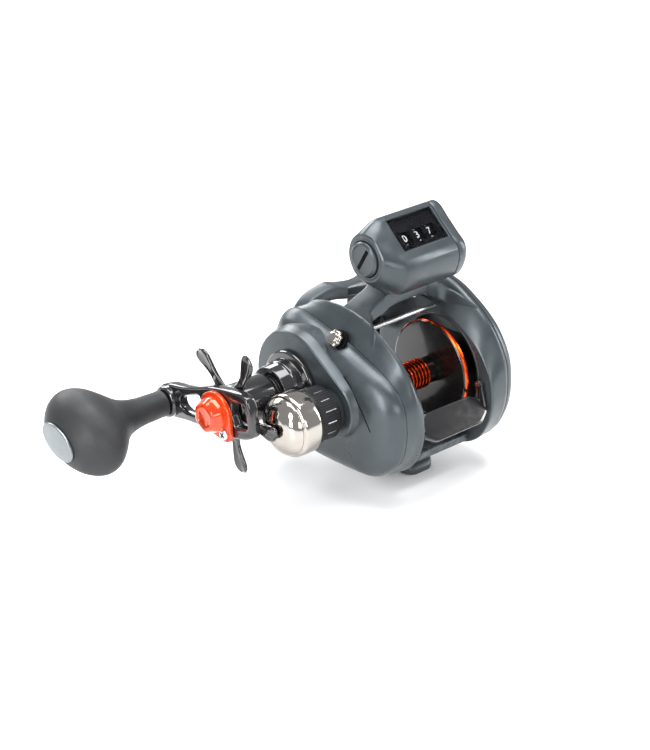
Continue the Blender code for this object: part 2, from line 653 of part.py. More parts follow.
def star_drag():
    """Five swept spokes with paddle tips on a long hub that reaches past the cap."""
    hub = [(8.6, -58.0), (9.4, -59.5), (9.4, STAR_OUT + 1.0), (8.4, STAR_OUT),
           (3.0 + GAP, STAR_OUT), (3.0 + GAP, -58.0)]
    obj = turned("star_drag", hub, GLOSS_BLACK, (0, DRIVE_Y, DRIVE_Z), ring=True)
    stations = []
    for reach, sweep, half in STAR_SPOKE:
        stations.append((reach, (sweep - half, STAR_OUT + 0.1), (sweep + half, STAR_IN)))
    for k in range(STAR_SPOKES):
        spoke = bar(f"spoke_{k}", stations, GLOSS_BLACK, 0.7, at=(0, DRIVE_Y, DRIVE_Z))
        place_spoke(spoke, STAR_PHASE + 2 * pi * k / STAR_SPOKES)
        join(obj, spoke)
    return obj


STAR_SPOKES = 5
STAR_PHASE = radians(114.0)
STAR_SPOKE = ((7.0, 0.0, 4.5), (12.0, 0.6, 2.8), (18.0, 0.9, 2.4), (23.0, 0.4, 3.5),
              (27.0, -0.4, 3.5), (28.5, -0.8, 2.1))


def place_spoke(spoke, turn):
    """Turn a spoke that was drawn along X so that it reaches out in the side view."""
    upright = Matrix(((0, 0, 1), (1, 0, 0), (0, 1, 0))).to_4x4()
    spoke.data.transform(Matrix.Rotation(turn, 4, "X") @ upright)


def handle():
    """The arm with its window and rear cut-out, the nut, its retainer and the knob."""
    stations = []
    for reach, half in ARM_HALF_WIDTH:
        stations.append((reach, (-half, ARM_OUT), (half, ARM_IN)))
    arm = bar("handle_arm", stations, GLOSS_BLACK, 0.9, at=(0, DRIVE_Y, DRIVE_Z))
    place_spoke(arm, ARM_TILT)
    join(arm, rod("knob_lug", 6.8, LUG_OUT, ARM_IN - 0.6, GLOSS_BLACK, KNOB_AT))
    cut(arm, rod("arm_bore", 3.0 + GAP, -90, -70, STEEL, DRIVE_AT))
    cut(arm, rod("knob_bore", 2.2 + GAP, -90, -70, STEEL, KNOB_AT))
    for name, window in (("arm_window", ARM_WINDOW), ("rear_window", ARM_REAR)):
        tilted = [(y * cos(ARM_TILT) - z * sin(ARM_TILT), y * sin(ARM_TILT) + z * cos(ARM_TILT))
                  for y, z in window]
        cut(arm, flat(name, [side_plate_outline(tilted)], 12.0, STEEL,
                      ((ARM_IN + ARM_OUT) / 2, DRIVE_Y, DRIVE_Z)))
    cut(arm, rod("screw_bore", 1.2 + GAP, -92, ARM_IN - 1.5, STEEL, SCREW_AT))
    flat("handle_nut", [circle(5.4, 6), circle(3.0 + GAP, 16)], 4.4, STEEL,
         (ARM_OUT - 2.7, DRIVE_Y, DRIVE_Z))
    retainer()
    head = PLATE_MID - 1.3
    screw = [(0, ARM_IN - 2.0), (1.2, ARM_IN - 2.0), (1.2, head), (2.4, head),
             (2.4, head - 1.2), (0, head - 1.4)]
    turned("retainer_screw", screw, SILVER, (0, *SCREW_AT))
    rod("knob_spindle", 2.2, -134.0, ARM_IN - 0.2, STEEL, KNOB_AT)


ARM_HALF_WIDTH = ((-20.5, 7.5), (-18.5, 9.5), (-8.0, 10.4), (4.0, 10.2), (14.0, 8.6),
                  (24.0, 7.6), (34.0, 7.6), (39.0, 6.6), (42.0, 3.6))
ARM_WINDOW = ((13.0, -3.6), (24.5, -3.2), (27.0, 0.0), (24.5, 3.2), (13.0, 5.0))
ARM_REAR = ((-18.0, -3.0), (-9.5, -5.0), (-7.5, 0.0), (-9.5, 5.0), (-18.0, 5.0))
SCREW_AT = (DRIVE_Y - 6.5, DRIVE_Z - 6.8)
PLATE_MID = ARM_OUT - 1.3      # middle of the retainer's plate


def retainer():
    """The plate that keeps the nut from turning, with its boss over the nut."""
    plate = stadium(SCREW_AT, 3.6, DRIVE_AT, 9.6, 20)
    obj = flat("nut_retainer", [side_plate_outline(plate)], 2.0, ORANGE, (PLATE_MID, 0, 0))
    near = ARM_OUT - 1.0
    boss = [(0, near), (8.0, near), (7.6, near - 4.5), (6.2, near - 7.0), (0, near - 7.0)]
    join(obj, turned("nut_boss", boss, ORANGE, (0, DRIVE_Y, DRIVE_Z), sides=12))
    cut(obj, flat("nut_room", [circle(5.4 + GAP, 6)], 8.0, ORANGE,
                  (ARM_OUT - 1.3, DRIVE_Y, DRIVE_Z)))
    cut(obj, rod("retainer_screw_way", 1.2 + GAP, -92, ARM_OUT, STEEL, SCREW_AT))
    cut(obj, rod("retainer_head_way", 2.4 + GAP, -92, PLATE_MID - 1.0, STEEL, SCREW_AT))
    return obj


def knob():
    """The soft egg-shaped knob with its stem, and the bright plate on its end."""
    mesh = bpy.data.meshes.new("knob")
    bm = bmesh.new()
    size = Matrix.Diagonal((*(half * MM for half in KNOB_HALF), 1.0))
    bmesh.ops.create_uvsphere(bm, u_segments=24, v_segments=14, radius=1.0, matrix=size)
    bm.to_mesh(mesh)
    bm.free()
    mesh.shade_smooth()
    obj = add("knob", mesh, RUBBER, (KNOB_MID, *KNOB_AT), (KNOB_LEAN, 0, 0))
    end = LUG_OUT - 0.8 - KNOB_MID
    stem = [(0, end), (6.0, end), (5.6, end - 2.0), (6.0, 28.0), (7.2, 21.0), (9.6, 14.5),
            (9.0, 6.0), (0, 6.0)]
    join(obj, turned("knob_stem", stem, RUBBER, (KNOB_MID, *KNOB_AT)))
    cut(obj, rod("spindle_way", 2.2 + GAP, -135.0, LUG_OUT, STEEL, KNOB_AT))
    cut(obj, rod("plate_seat", 20.0, -145.0, PLATE_X, STEEL, KNOB_AT))
    outline = [(6.8 * u, 10.6 * v) for u, v in circle(1.0, 32)]
    turn = Matrix.Rotation(KNOB_LEAN, 3, "X") @ Matrix.Rotation(pi / 2, 3, "Y")
    flat("knob_plate", [outline], 1.2, SILVER, (PLATE_X - GAP - 0.6, *KNOB_AT),
         turn.to_euler())


KNOB_HALF = (15.5, 21.5, 15.5)
KNOB_LEAN = radians(20.0)
PLATE_X = -139.2


def cast_control():
    """The knurled tension ring and the chrome cap on the spool axis."""
    ring = [(10.8, -46.6), (11.6, -47.2), (11.6, -57.0), (10.8, -58.0), (8.5 + GAP, -58.0),
            (8.5 + GAP, -46.6)]
    turned("cast_control_ring", ring, BLACK_PLASTIC, ring=True, sides=36)
    cap = [(0, -66.0), (8.5 + GAP, -66.0), (8.5 + GAP, -58.5), (12.8, -58.5), (13.5, -59.5),
           (13.5, -67.8), (12.9, -69.2), (11.6, -69.4), (11.0, -70.7), (8.8, -72.7),
           (5.0, -73.8), (0, CAP_END)]
    turned("cast_control_cap", cap, CHROME, sides=36)


# ---------------------------------------------------------------- thumb bar and clicker

def thumb_bar():
    """The sloping bar behind the spool that frees it, on two ears."""
    top = (-24.2, -3.4)
    slope = radians(48.0)
    stations = []
    for reach, half in ((0.0, 12.5), (4.0, 18.6), (9.0, 18.6), (13.0, 13.0)):
        stations.append((reach, (-half, -2.0), (half, 0.0)))
    obj = bar("thumb_bar", stations, GLOSS_BLACK, 0.6, at=(0, *THUMB_AT))
    down_slope = Matrix(((0, 1, 0, 0), (-cos(slope), 0, -sin(slope), 0),
                         (-sin(slope), 0, cos(slope), 0), (0, 0, 0, 1)))
    obj.data.transform(down_slope)
    obj.data.transform(Matrix.Translation(((0, (top[0] - THUMB_AT[0]) * MM,
                                            (top[1] - THUMB_AT[1]) * MM))))
    for side in (-1, 1):
        ear = [(-26.9, 1.6), (-24.6, 2.4), (-23.0, 1.0), (-23.6, -1.6), (-26.4, -8.4),
               (-29.6, -8.8)]
        ear = [(y - THUMB_AT[0], z - THUMB_AT[1]) for y, z in ear]
        join(obj, flat(f"ear_{side}", [side_plate_outline(ear)], 1.4, GLOSS_BLACK,
                       (side * 17.9, *THUMB_AT)))
    cut(obj, rod("pin_way", 1.0 + GAP, -20, 20, STEEL, THUMB_AT))
    return obj


def clicker():
    """The little chrome button in the gear-side cover."""
    outline = [(0, 6.4), (2.4, 6.4), (3.2, 5.6), (3.2, 3.4), (1.2, 3.4), (1.2, 0), (0, 0)]
    slanted_rod("clicker_button", outline)


# ---------------------------------------------------------------- counter

def counter():
    """The housing with its window, end cap, dial panel, drums, gears and reset knob."""
    centre = (0.0, 59.5)
    socket = [(DRUM_Y + 10.6 * cos(a), DRUM_Z + 10.6 * sin(a)) for a in counter_angles()]
    housing = [(COUNTER_LEFT, socket), (-18.5, blend(socket, COUNTER, 0.45)),
               (-13.5, COUNTER), (COUNTER_SEAM, COUNTER)]
    obj = loft("counter_housing", housing, GUNMETAL)
    inner = shrink(COUNTER, 0.84, centre)
    cut(obj, loft("counter_room", [(-13.0, inner), (COUNTER_SEAM + 1, inner)], GUNMETAL))
    cut(obj, rod("reset_seat", 7.8, -24.0, -17.0, GUNMETAL, DRUM_AT))
    cut(obj, rod("drum_shaft_way", 1.5 + GAP, -18.0, -12.0, GUNMETAL, DRUM_AT))
    cut(obj, face_block("window_way", -10.8, 14.0, 1.6, 17.0, -4.5, 1.0))
    for x in COUNTER_SCREWS_X:
        cut(obj, rod_up(f"counter_hole_{x}", 1.0, 40.0, 50.0, (x, 4.0)))
    end = [(COUNTER_SEAM + GAP, COUNTER), (18.8, COUNTER), (20.2, shrink(COUNTER, 0.93, centre)),
           (COUNTER_RIGHT, shrink(COUNTER, 0.84, centre))]
    cap = loft("counter_end_cap", end, GUNMETAL)
    cut(cap, rod("drum_shaft_seat", 1.5 + GAP, 15.0, 18.0, GUNMETAL, DRUM_AT))
    cut(cap, rod("stub_seat", 1.0, 15.0, 18.0, GUNMETAL, (STUB_Y, STUB_Z)))
    face_block("counter_window", -10.5, 13.7, 1.9, 16.7, -1.1, -0.1, GLASS)
    panel = face_block("dial_panel", -10.5, 13.7, 1.9, 16.7, -2.3, -1.4, BLACK_PLASTIC)
    for k, x in enumerate(DRUMS_X):
        cut(panel, face_block(f"digit_way_{k}", x - 2.2, x + 2.2, 8.2, 14.2, -4.0, 1.0))
    for name, x in zip(("digit_drum_hundreds", "digit_drum_tens", "digit_drum_units"), DRUMS_X):
        sleeve(name, 6.8, 1.5 + GAP, x - 3.0, x + 3.0, WHITE_PLASTIC, DRUM_AT)
    span = hypot(STUB_Y - DRUM_Y, STUB_Z - DRUM_Z)
    units_r = span * UNITS_TEETH / (UNITS_TEETH + COUNTER_TEETH)
    towards_stub = direction(STUB_Y - DRUM_Y, STUB_Z - DRUM_Z)
    gear("units_gear", UNITS_TEETH, units_r, 12.6, 14.4, 1.5 + GAP, BLACK_PLASTIC, DRUM_AT,
         towards_stub)
    gear("counter_gear", COUNTER_TEETH, span - units_r, 12.6, 14.4, 0.9, BLACK_PLASTIC,
         (STUB_Y, STUB_Z), towards_stub + pi + pi / COUNTER_TEETH)
    rod("counter_stub", 0.7, 11.5, 17.6, STEEL, (STUB_Y, STUB_Z))
    rod("drum_shaft", 1.5, -19.0, 17.6, STEEL, DRUM_AT)
    reset = turned("reset_knob", [(0, -19.3), (7.5, -19.3), (7.5, -23.6), (6.9, -24.2),
                                  (0, -24.2)], GUNMETAL, (0, *DRUM_AT))
    slot = block("reset_slot", (-25.0, -0.9, -6.5), (-23.0, 0.9, 6.5), GUNMETAL)
    slot.location = Vector((-24.0, *DRUM_AT)) * MM
    slot.rotation_euler = (radians(30.0), 0, 0)
    cut(reset, slot)
    head = [(0, 46.2), (0.8, 46.2), (0.8, 36.2), (2.0, 36.2), (2.0, 35.2), (0, 35.2)]
    for name, x in zip(("counter_screw_left", "counter_screw_right"), COUNTER_SCREWS_X):
        turned(name, head, STEEL, (x, 4.0, 0), UPRIGHT)


DRUMS_X = (-4.6, 2.3, 9.2)


def counter_angles():
    """Directions of the counter's outline points from the drum axis."""
    return [atan2(z - DRUM_Z, y - DRUM_Y) for y, z in COUNTER]


def face_block(name, x0, x1, t0, t1, low, high, material=STEEL):
    """A box set into the reading face: t runs down the face, height out of it."""
    obj = block(name, (x0, -t1, low), (x1, -t0, high), material)
    middle = obj.location / MM
    tilt = Matrix.Rotation(FACE_TILT, 3, "X")
    origin = Vector((0, *FACE_TOP))
    obj.location = (origin + tilt @ middle) * MM
    obj.rotation_euler = tilt.to_euler()
    return obj


frame()
foot()
foot_rivets()
gear_side_cover()
palm_side_cover()
frame_details()
spool()
drive_train()
worm_and_guide()
star_drag()
handle()
knob()
cast_control()
thumb_bar()
clicker()
counter()
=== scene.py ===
"""Looks of the low-profile line-counter trolling reel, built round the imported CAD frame.

Shapes are given in millimetres from the middle of the spool: +X towards the palm side,
+Y forward along the rod, +Z away from it.  Each piece rides on the CAD body that it belongs to.
"""
from math import atan2, cos, hypot, acos, pi, radians, sin

import bmesh
import bpy
from mathutils import Matrix, Vector
from mathutils.bvhtree import BVHTree


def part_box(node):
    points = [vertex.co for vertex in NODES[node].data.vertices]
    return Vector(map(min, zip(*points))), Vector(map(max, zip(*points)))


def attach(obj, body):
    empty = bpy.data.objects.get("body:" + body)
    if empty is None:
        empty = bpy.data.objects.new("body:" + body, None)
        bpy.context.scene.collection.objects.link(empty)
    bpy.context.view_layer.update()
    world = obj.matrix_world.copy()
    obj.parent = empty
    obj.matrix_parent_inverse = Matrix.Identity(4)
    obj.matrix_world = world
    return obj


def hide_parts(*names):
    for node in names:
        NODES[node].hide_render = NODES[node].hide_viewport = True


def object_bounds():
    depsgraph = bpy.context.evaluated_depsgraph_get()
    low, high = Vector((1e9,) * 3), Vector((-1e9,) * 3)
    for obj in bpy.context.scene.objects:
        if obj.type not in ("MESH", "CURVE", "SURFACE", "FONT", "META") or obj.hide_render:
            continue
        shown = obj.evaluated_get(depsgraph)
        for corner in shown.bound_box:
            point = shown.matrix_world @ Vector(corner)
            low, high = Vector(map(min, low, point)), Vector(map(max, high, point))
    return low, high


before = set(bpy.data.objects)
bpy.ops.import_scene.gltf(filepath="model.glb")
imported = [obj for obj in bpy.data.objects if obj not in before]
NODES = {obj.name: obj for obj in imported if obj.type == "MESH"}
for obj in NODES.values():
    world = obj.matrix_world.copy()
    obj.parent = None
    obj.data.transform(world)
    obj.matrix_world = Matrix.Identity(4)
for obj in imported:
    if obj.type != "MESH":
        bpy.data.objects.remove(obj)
cad_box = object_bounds()

MM = 0.001


def centre(node):
    """Middle of a CAD node's box."""
    low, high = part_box(node)
    return (low + high) / 2


SPOOL = centre("spool")
ORIGIN = Vector((0.0, SPOOL.y, SPOOL.z))


def axis_of(node):
    """Place (y, z) of a node's axis along X, in millimetres from the spool's axis."""
    place = (centre(node) - ORIGIN) / MM
    return (place.y, place.z)


DRIVE = axis_of("drive_shaft")
KNOB = axis_of("knob_spindle")
DRUM = axis_of("drum_shaft")
AXLE = (0.0, 0.0)

# Stations along X, and the sizes that several pieces share
SEAM = 29.2                      # where each cover meets its ring
WALL_IN = 19.5                   # inner face of the rings
DOOR_R = 22.6                    # the round way of the spool through the rings
STAR_OUT = -77.4
STAR_IN = -74.7
STAR_MIDDLE = (STAR_OUT + STAR_IN) / 2
STAR_SPOKES = 5
STAR_PHASE = radians(114.0)      # where the first spoke stands
STAR_THICK = 1.25
ARM_IN = -78.1
ARM_OUT = -83.1
LUG_OUT = -86.1
CAP_END = -74.2
PLATE_MID = ARM_OUT - 1.3        # the retainer plate, just outside the arm
ARM_TILT = radians(-12.0)
RETAINER_SCREW = (DRIVE[0] - 6.5, DRIVE[1] - 6.8)
SCREW_TURN = 0.5
KNOB_LEAN = radians(20.0)
PLATE_X = -139.2                 # outer face of the bright plate on the knob
CLICKER_PLACE = (-30.5, 7.5, 23.5)
CLICKER_LEAN = radians(-52.0)
THUMB_TOP = (-24.2, -3.4)
THUMB_SLOPE = radians(48.0)
THUMB_EAR_X = 17.9
SPOOL_LEFT = -21.4
SPOOL_RIGHT = 16.0
BANDS = 14
BAND_START = 7.6
BAND_PITCH = 1.9

# Side outlines as (y, z), from the rear middle over the top to the front and back below.
RING = [(-31.5, 0), (-30.5, 8), (-27.5, 15), (-22.5, 22), (-16, 27.5), (-8.5, 32), (0, 36),
        (9, 38), (18, 38.2), (27, 37), (34.5, 34), (39.5, 29), (42, 22), (42, 14), (39.5, 7),
        (34, 0), (29.5, -7), (25, -14), (18.5, -21), (10.5, -27), (1, -31.5), (-8, -33),
        (-17, -30.5), (-24.5, -24.5), (-29.3, -15.5), (-31.3, -7.5)]
GEAR_SIDE = [(-31, -1), (-29.5, 6), (-26, 11), (-20.5, 15), (-14, 18), (-6, 21), (2, 23.5),
             (10, 25.5), (18, 27), (27, 28.8), (35, 29.4), (42, 26.8), (46, 20.5), (47.2, 12),
             (47.3, 2.5), (46, -6), (42.5, -15), (37, -22.5), (30.5, -28), (21, -32),
             (8, -32.3), (-5, -31.5), (-15, -30.3), (-23, -25), (-29, -17), (-31, -8.5)]
COUNTER = [(4.5, 74.3), (9.3, 72), (12.6, 66), (13, 59), (11.8, 52), (8.5, 45.5), (2, 43.6),
           (-6, 43.9), (-10.8, 47), (-13.4, 52), (-14, 57), (-12.4, 60.8), (-8.5, 63.8),
           (-2, 69.1)]
FACE_TOP = (4.5, 74.3)
FACE_TILT = radians(39.0)
DRUMS_X = (-4.6, 2.3, 9.2)
DRUM_ROOM = 7.9                  # the space that the digit drums turn in
FIGURE_R = 6.86                  # the figures stand just proud of the drums
FIGURES = 10


# ---------------------------------------------------------------- materials

class Nodes:
    """A material's node tree with short ways to add and join nodes."""

    def __init__(self, name):
        self.material = bpy.data.materials.new("look_" + name)
        self.material["look"] = name
        self.material.use_nodes = True
        self.tree = self.material.node_tree
        self.shader = self.tree.nodes["Principled BSDF"]
        self.place = self.add("ShaderNodeTexCoord").outputs["Object"]

    def add(self, kind, **settings):
        node = self.tree.nodes.new(kind)
        for key, value in settings.items():
            setattr(node, key, value)
        return node

    def link(self, source, target):
        self.tree.links.new(source, target)

    def stretched(self, scale):
        """The object's own place, scaled along each axis."""
        node = self.add("ShaderNodeMapping")
        self.link(self.place, node.inputs["Vector"])
        node.inputs["Scale"].default_value = scale
        return node.outputs["Vector"]

    def noise(self, scale, detail=3.0, stretch=None):
        node = self.add("ShaderNodeTexNoise")
        node.inputs["Scale"].default_value = scale
        node.inputs["Detail"].default_value = detail
        place = self.stretched(stretch) if stretch else self.place
        self.link(place, node.inputs["Vector"])
        return node.outputs["Fac"]

    def spread(self, value, low, high, start=0.3, end=0.7):
        """Map a value's middle range onto another range."""
        node = self.add("ShaderNodeMapRange")
        self.link(value, node.inputs["Value"])
        node.inputs["From Min"].default_value = start
        node.inputs["From Max"].default_value = end
        node.inputs["To Min"].default_value = low
        node.inputs["To Max"].default_value = high
        return node.outputs["Result"]

    def mix(self, share, first, second):
        """Mix two colours by a share.  Either one may be a colour or a socket."""
        node = self.add("ShaderNodeMix", data_type="RGBA")
        self.link(share, node.inputs["Factor"])
        for colour, target in ((first, node.inputs["A"]), (second, node.inputs["B"])):
            if isinstance(colour, tuple):
                target.default_value = (*colour, 1.0)
            else:
                self.link(colour, target)
        return node.outputs["Result"]

    def bump(self, height, depth, strength=1.0, below=None):
        node = self.add("ShaderNodeBump")
        node.inputs["Distance"].default_value = depth
        node.inputs["Strength"].default_value = strength
        self.link(height, node.inputs["Height"])
        if below:
            self.link(below, node.inputs["Normal"])
        return node.outputs["Normal"]

    def edge_rub_and_highlight(self, low=0.53, high=0.60):
        """How much of an outer edge is here."""
        point = self.add("ShaderNodeNewGeometry").outputs["Pointiness"]
        return self.spread(point, 0.0, 1.0, low, high)


def tinted(colour, factor):
    return tuple(min(1.0, c * factor) for c in colour)


def surface(name, colour, rough, metallic=0.0, grain=2500.0, depth=0.000008, mottle=70.0,
            variety=0.12, stretch=None, rubbed_and_lit_edges=None, coat=0.0, coat_rough=0.1, rough_spread=0.25,
            shine=0.5):
    """A solid surface with mottled colour, uneven roughness, fine grain, rubbed edges and a
    painted edge highlight.
    """
    n = Nodes(name)
    blotches = n.noise(mottle, 4.0)
    tone = n.mix(n.spread(blotches, 0.0, 1.0), tinted(colour, 1 - variety),
                 tinted(colour, 1 + variety))
    # Outer edges are lightened in colour: partly rubbing, partly a painted highlight where
    # light catches the edges.
    if rubbed_and_lit_edges:
        shade, amount = rubbed_and_lit_edges
        rub_and_highlight_patches = n.spread(n.noise(420.0, 5.0), 0.0, amount, 0.45, 0.7)
        edge = n.add("ShaderNodeMath", operation="MULTIPLY")
        n.link(rub_and_highlight_patches, edge.inputs[0])
        n.link(n.edge_rub_and_highlight(), edge.inputs[1])
        tone = n.mix(edge.outputs[0], tone, shade)
    n.link(tone, n.shader.inputs["Base Color"])
    smudges = n.noise(mottle * 3.1, 5.0, stretch)
    n.link(n.spread(smudges, rough * (1 - rough_spread), rough * (1 + rough_spread)),
           n.shader.inputs["Roughness"])
    n.shader.inputs["Metallic"].default_value = metallic
    n.shader.inputs["Specular IOR Level"].default_value = shine
    n.shader.inputs["Coat Weight"].default_value = coat
    n.shader.inputs["Coat Roughness"].default_value = coat_rough
    n.link(n.bump(n.noise(grain, 3.0, stretch), depth), n.shader.inputs["Normal"])
    return n


# Each edge colour below is lighter than its base: partly rubbing, partly a painted highlight on
# the edges.
GUNMETAL = surface("gunmetal_paint", (0.052, 0.063, 0.070), 0.36, 0.6, grain=5200.0,
                   depth=0.000006, mottle=45.0, variety=0.07,
                   rubbed_and_lit_edges=((0.20, 0.22, 0.23), 0.5), coat=0.25, coat_rough=0.28).material
GUNMETAL_DARK = surface("gunmetal_shadow", (0.040, 0.045, 0.050), 0.48, 0.4, grain=5200.0,
                        depth=0.000008, mottle=60.0).material
GLOSS_BLACK = surface("gloss_black", (0.010, 0.010, 0.011), 0.13, 0.0, grain=900.0,
                      depth=0.000004, mottle=80.0, variety=0.3,
                      rubbed_and_lit_edges=((0.10, 0.10, 0.10), 0.5), coat=0.8, coat_rough=0.05).material
CHROME = surface("chrome", (0.44, 0.41, 0.375), 0.09, 1.0, grain=1300.0, depth=0.0000003,
                 mottle=90.0, variety=0.05, rough_spread=0.4).material
ORANGE = surface("orange_anodised", (0.86, 0.085, 0.012), 0.20, 1.0, grain=4200.0,
                 depth=0.000005, mottle=120.0, variety=0.12,
                 rubbed_and_lit_edges=((1.0, 0.45, 0.10), 0.8)).material
ORANGE_LACQUER = surface("orange_lacquer", (0.66, 0.048, 0.003), 0.10, 0.35, grain=1500.0,
                         depth=0.000006, mottle=160.0, variety=0.35,
                         rubbed_and_lit_edges=((0.9, 0.16, 0.02), 0.7), coat=0.6, coat_rough=0.04).material
SILVER = surface("satin_silver", (0.62, 0.64, 0.64), 0.26, 1.0, grain=1800.0,
                 depth=0.000004, mottle=100.0, variety=0.08, stretch=(0.06, 1.0, 1.0)).material
STEEL = surface("machined_steel", (0.46, 0.46, 0.46), 0.28, 1.0, grain=2600.0,
                depth=0.000006, mottle=150.0, variety=0.12, stretch=(3.0, 0.6, 0.6)).material
PLATE_SILVER = surface("satin_plate", (0.25, 0.27, 0.28), 0.34, 0.85, grain=1800.0,
                       depth=0.000004, mottle=100.0, variety=0.08).material
BRASS = surface("brass", (0.62, 0.43, 0.16), 0.30, 1.0, grain=2600.0, depth=0.000006,
                mottle=140.0, variety=0.15).material
BLACK_PLASTIC = surface("black_plastic", (0.009, 0.009, 0.010), 0.42, 0.0, grain=4200.0,
                        depth=0.000010, mottle=90.0, variety=0.25, shine=0.22,
                        rubbed_and_lit_edges=((0.07, 0.07, 0.07), 0.5)).material
BAND_ORANGE = surface("orange_band", (0.50, 0.045, 0.008), 0.24, 1.0, grain=4200.0,
                      depth=0.000004, mottle=150.0, variety=0.2).material
SPOOL_BLACK = surface("spool_black", (0.018, 0.016, 0.015), 0.16, 0.6, grain=700.0,
                      depth=0.000003, mottle=60.0, variety=0.25, coat=0.5,
                      coat_rough=0.08).material
RUBBER = surface("soft_touch_rubber", (0.019, 0.021, 0.022), 0.52, 0.0, grain=3600.0,
                 depth=0.000022, mottle=55.0, variety=0.14, rough_spread=0.15, shine=0.4,
                 rubbed_and_lit_edges=((0.06, 0.064, 0.067), 0.4)).material
DIGIT_WHITE = surface("digit_white", (0.80, 0.80, 0.78), 0.5, 0.0, grain=3000.0,
                      depth=0.000006, variety=0.06).material
# Near-black: the own colour of the drums, dial panel, seam and clicker seat, and also painted
# shade in the screw slot and reset groove.
BLACK_AND_SLOT_SHADE = surface("black_and_painted_slot_shade", (0.003, 0.003, 0.004), 0.6, 0.0, grain=3000.0,
                    depth=0.00001, variety=0.3, shine=0.06).material


def window_glass():
    """A clear pane with faint smears."""
    n = Nodes("clear_window")
    n.shader.inputs["Base Color"].default_value = (0.95, 0.97, 1.0, 1.0)
    n.link(n.spread(n.noise(160.0, 5.0), 0.01, 0.06), n.shader.inputs["Roughness"])
    n.shader.inputs["Transmission Weight"].default_value = 1.0
    n.shader.inputs["IOR"].default_value = 1.12
    return n.material


GLASS = window_glass()


# ---------------------------------------------------------------- building pieces

def finish_piece(obj, material, body, angle=32.0, replaces=()):
    """Shade a piece, give it its material and slot, and let it ride on its body."""
    obj.data.materials.clear()
    obj.data.materials.append(material)
    obj.data.shade_smooth()
    obj.data.set_sharp_from_angle(angle=radians(angle))
    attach(obj, body)
    if replaces:
        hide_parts(*replaces)
    return obj


def linked(name, data):
    """A new object in the scene."""
    obj = bpy.data.objects.new(name, data)
    bpy.context.scene.collection.objects.link(obj)
    return obj


def plain_mesh(curve):
    """The mesh of a curve or text."""
    guide = linked("guide", curve)
    bpy.context.view_layer.update()
    mesh = bpy.data.meshes.new_from_object(
        guide.evaluated_get(bpy.context.evaluated_depsgraph_get()))
    bpy.data.objects.remove(guide, do_unlink=True)
    return mesh


def skin(bm, rings, ends=(True, True)):
    """Faces between rings that have the same number of corners, and over the ends."""
    for low, high in zip(rings, rings[1:]):
        for i in range(len(low)):
            k = (i + 1) % len(low)
            bm.faces.new((low[i], low[k], high[k], high[i]))
    for wanted, ring in zip(ends, (rings[0], rings[-1])):
        if wanted:
            bm.faces.new(ring)


def skin_turned(bm, low, high, full=True):
    """Faces between two rings, either of which may be a single point."""
    count = max(len(low), len(high))
    for i in range(count if full else count - 1):
        k = (i + 1) % count
        corners = [low[i % len(low)], low[k % len(low)], high[k % len(high)],
                   high[i % len(high)]]
        unique = list(dict.fromkeys(corners))
        if len(unique) > 2:
            bm.faces.new(unique)


def from_bmesh(name, bm, move=None):
    """An object from a bmesh in millimetres round the spool's middle."""
    if move:
        bmesh.ops.transform(bm, matrix=move, verts=bm.verts)
    bmesh.ops.recalc_face_normals(bm, faces=bm.faces)
    bmesh.ops.transform(bm, matrix=Matrix.Translation(ORIGIN) @ Matrix.Scale(MM, 4),
                        verts=bm.verts)
    mesh = bpy.data.meshes.new(name)
    bm.to_mesh(mesh)
    bm.free()
    return linked(name, mesh)


def settled(obj):
    """The object with its modifiers turned into plain mesh, and its helpers removed."""
    bpy.context.view_layer.update()
    graph = bpy.context.evaluated_depsgraph_get()
    mesh = bpy.data.meshes.new_from_object(obj.evaluated_get(graph))
    helpers = [m.object for m in obj.modifiers if m.type == "BOOLEAN"]
    obj.modifiers.clear()
    obj.data = mesh
    for helper in helpers:
        bpy.data.objects.remove(helper, do_unlink=True)
    return obj


def boolean(obj, other, operation="DIFFERENCE"):
    modifier = obj.modifiers.new("cut", "BOOLEAN")
    modifier.operation = operation
    modifier.solver = "EXACT"
    modifier.object = other
    return obj


def bevel(obj, width, segments=3, angle=30.0):
    modifier = obj.modifiers.new("edges", "BEVEL")
    modifier.width = width * MM
    modifier.segments = segments
    modifier.limit_method = "ANGLE"
    modifier.angle_limit = radians(angle)
    modifier.use_clamp_overlap = True
    return obj


def fillet(points, radius, closed=False, steps=4):
    """Round a polyline's corners."""
    points = [Vector(p) for p in points]
    count = len(points)
    out = []
    for i, p in enumerate(points):
        if not closed and i in (0, count - 1):
            out.append(p)
            continue
        a, b = points[i - 1], points[(i + 1) % count]
        reach = min(radius, 0.45 * (a - p).length, 0.45 * (b - p).length)
        start = p + (a - p).normalized() * reach
        end = p + (b - p).normalized() * reach
        for k in range(steps + 1):
            t = k / steps
            out.append(start * (1 - t) ** 2 + p * 2 * t * (1 - t) + end * t ** 2)
    return out


def lathe(name, outline, at, material, body, ring=False, round_by=0.25, sides=96, wave=None,
          replaces=(), angle=32.0, arc=(0.0, 2 * pi)):
    """A turned piece about an axis along X.  The outline is (radius, x)."""
    points = fillet(outline, round_by, ring, 3) if round_by else [Vector(p) for p in outline]
    full = arc[1] - arc[0] > 2 * pi - 0.001
    bm = bmesh.new()
    rings = []
    for radius, x in points:
        if radius < 0.0001:
            rings.append([bm.verts.new((x, at[0], at[1]))])
            continue
        verts = []
        for k in range(sides if full else sides + 1):
            angle_here = arc[0] + (arc[1] - arc[0]) * k / sides
            r = radius + (wave(angle_here, radius, x) if wave else 0.0)
            verts.append(bm.verts.new((x, at[0] + r * cos(angle_here),
                                       at[1] + r * sin(angle_here))))
        rings.append(verts)
    pairs = list(zip(rings, rings[1:])) + ([(rings[-1], rings[0])] if ring else [])
    for low, high in pairs:
        skin_turned(bm, low, high, full)
    return finish_piece(from_bmesh(name, bm), material, body, angle, replaces)


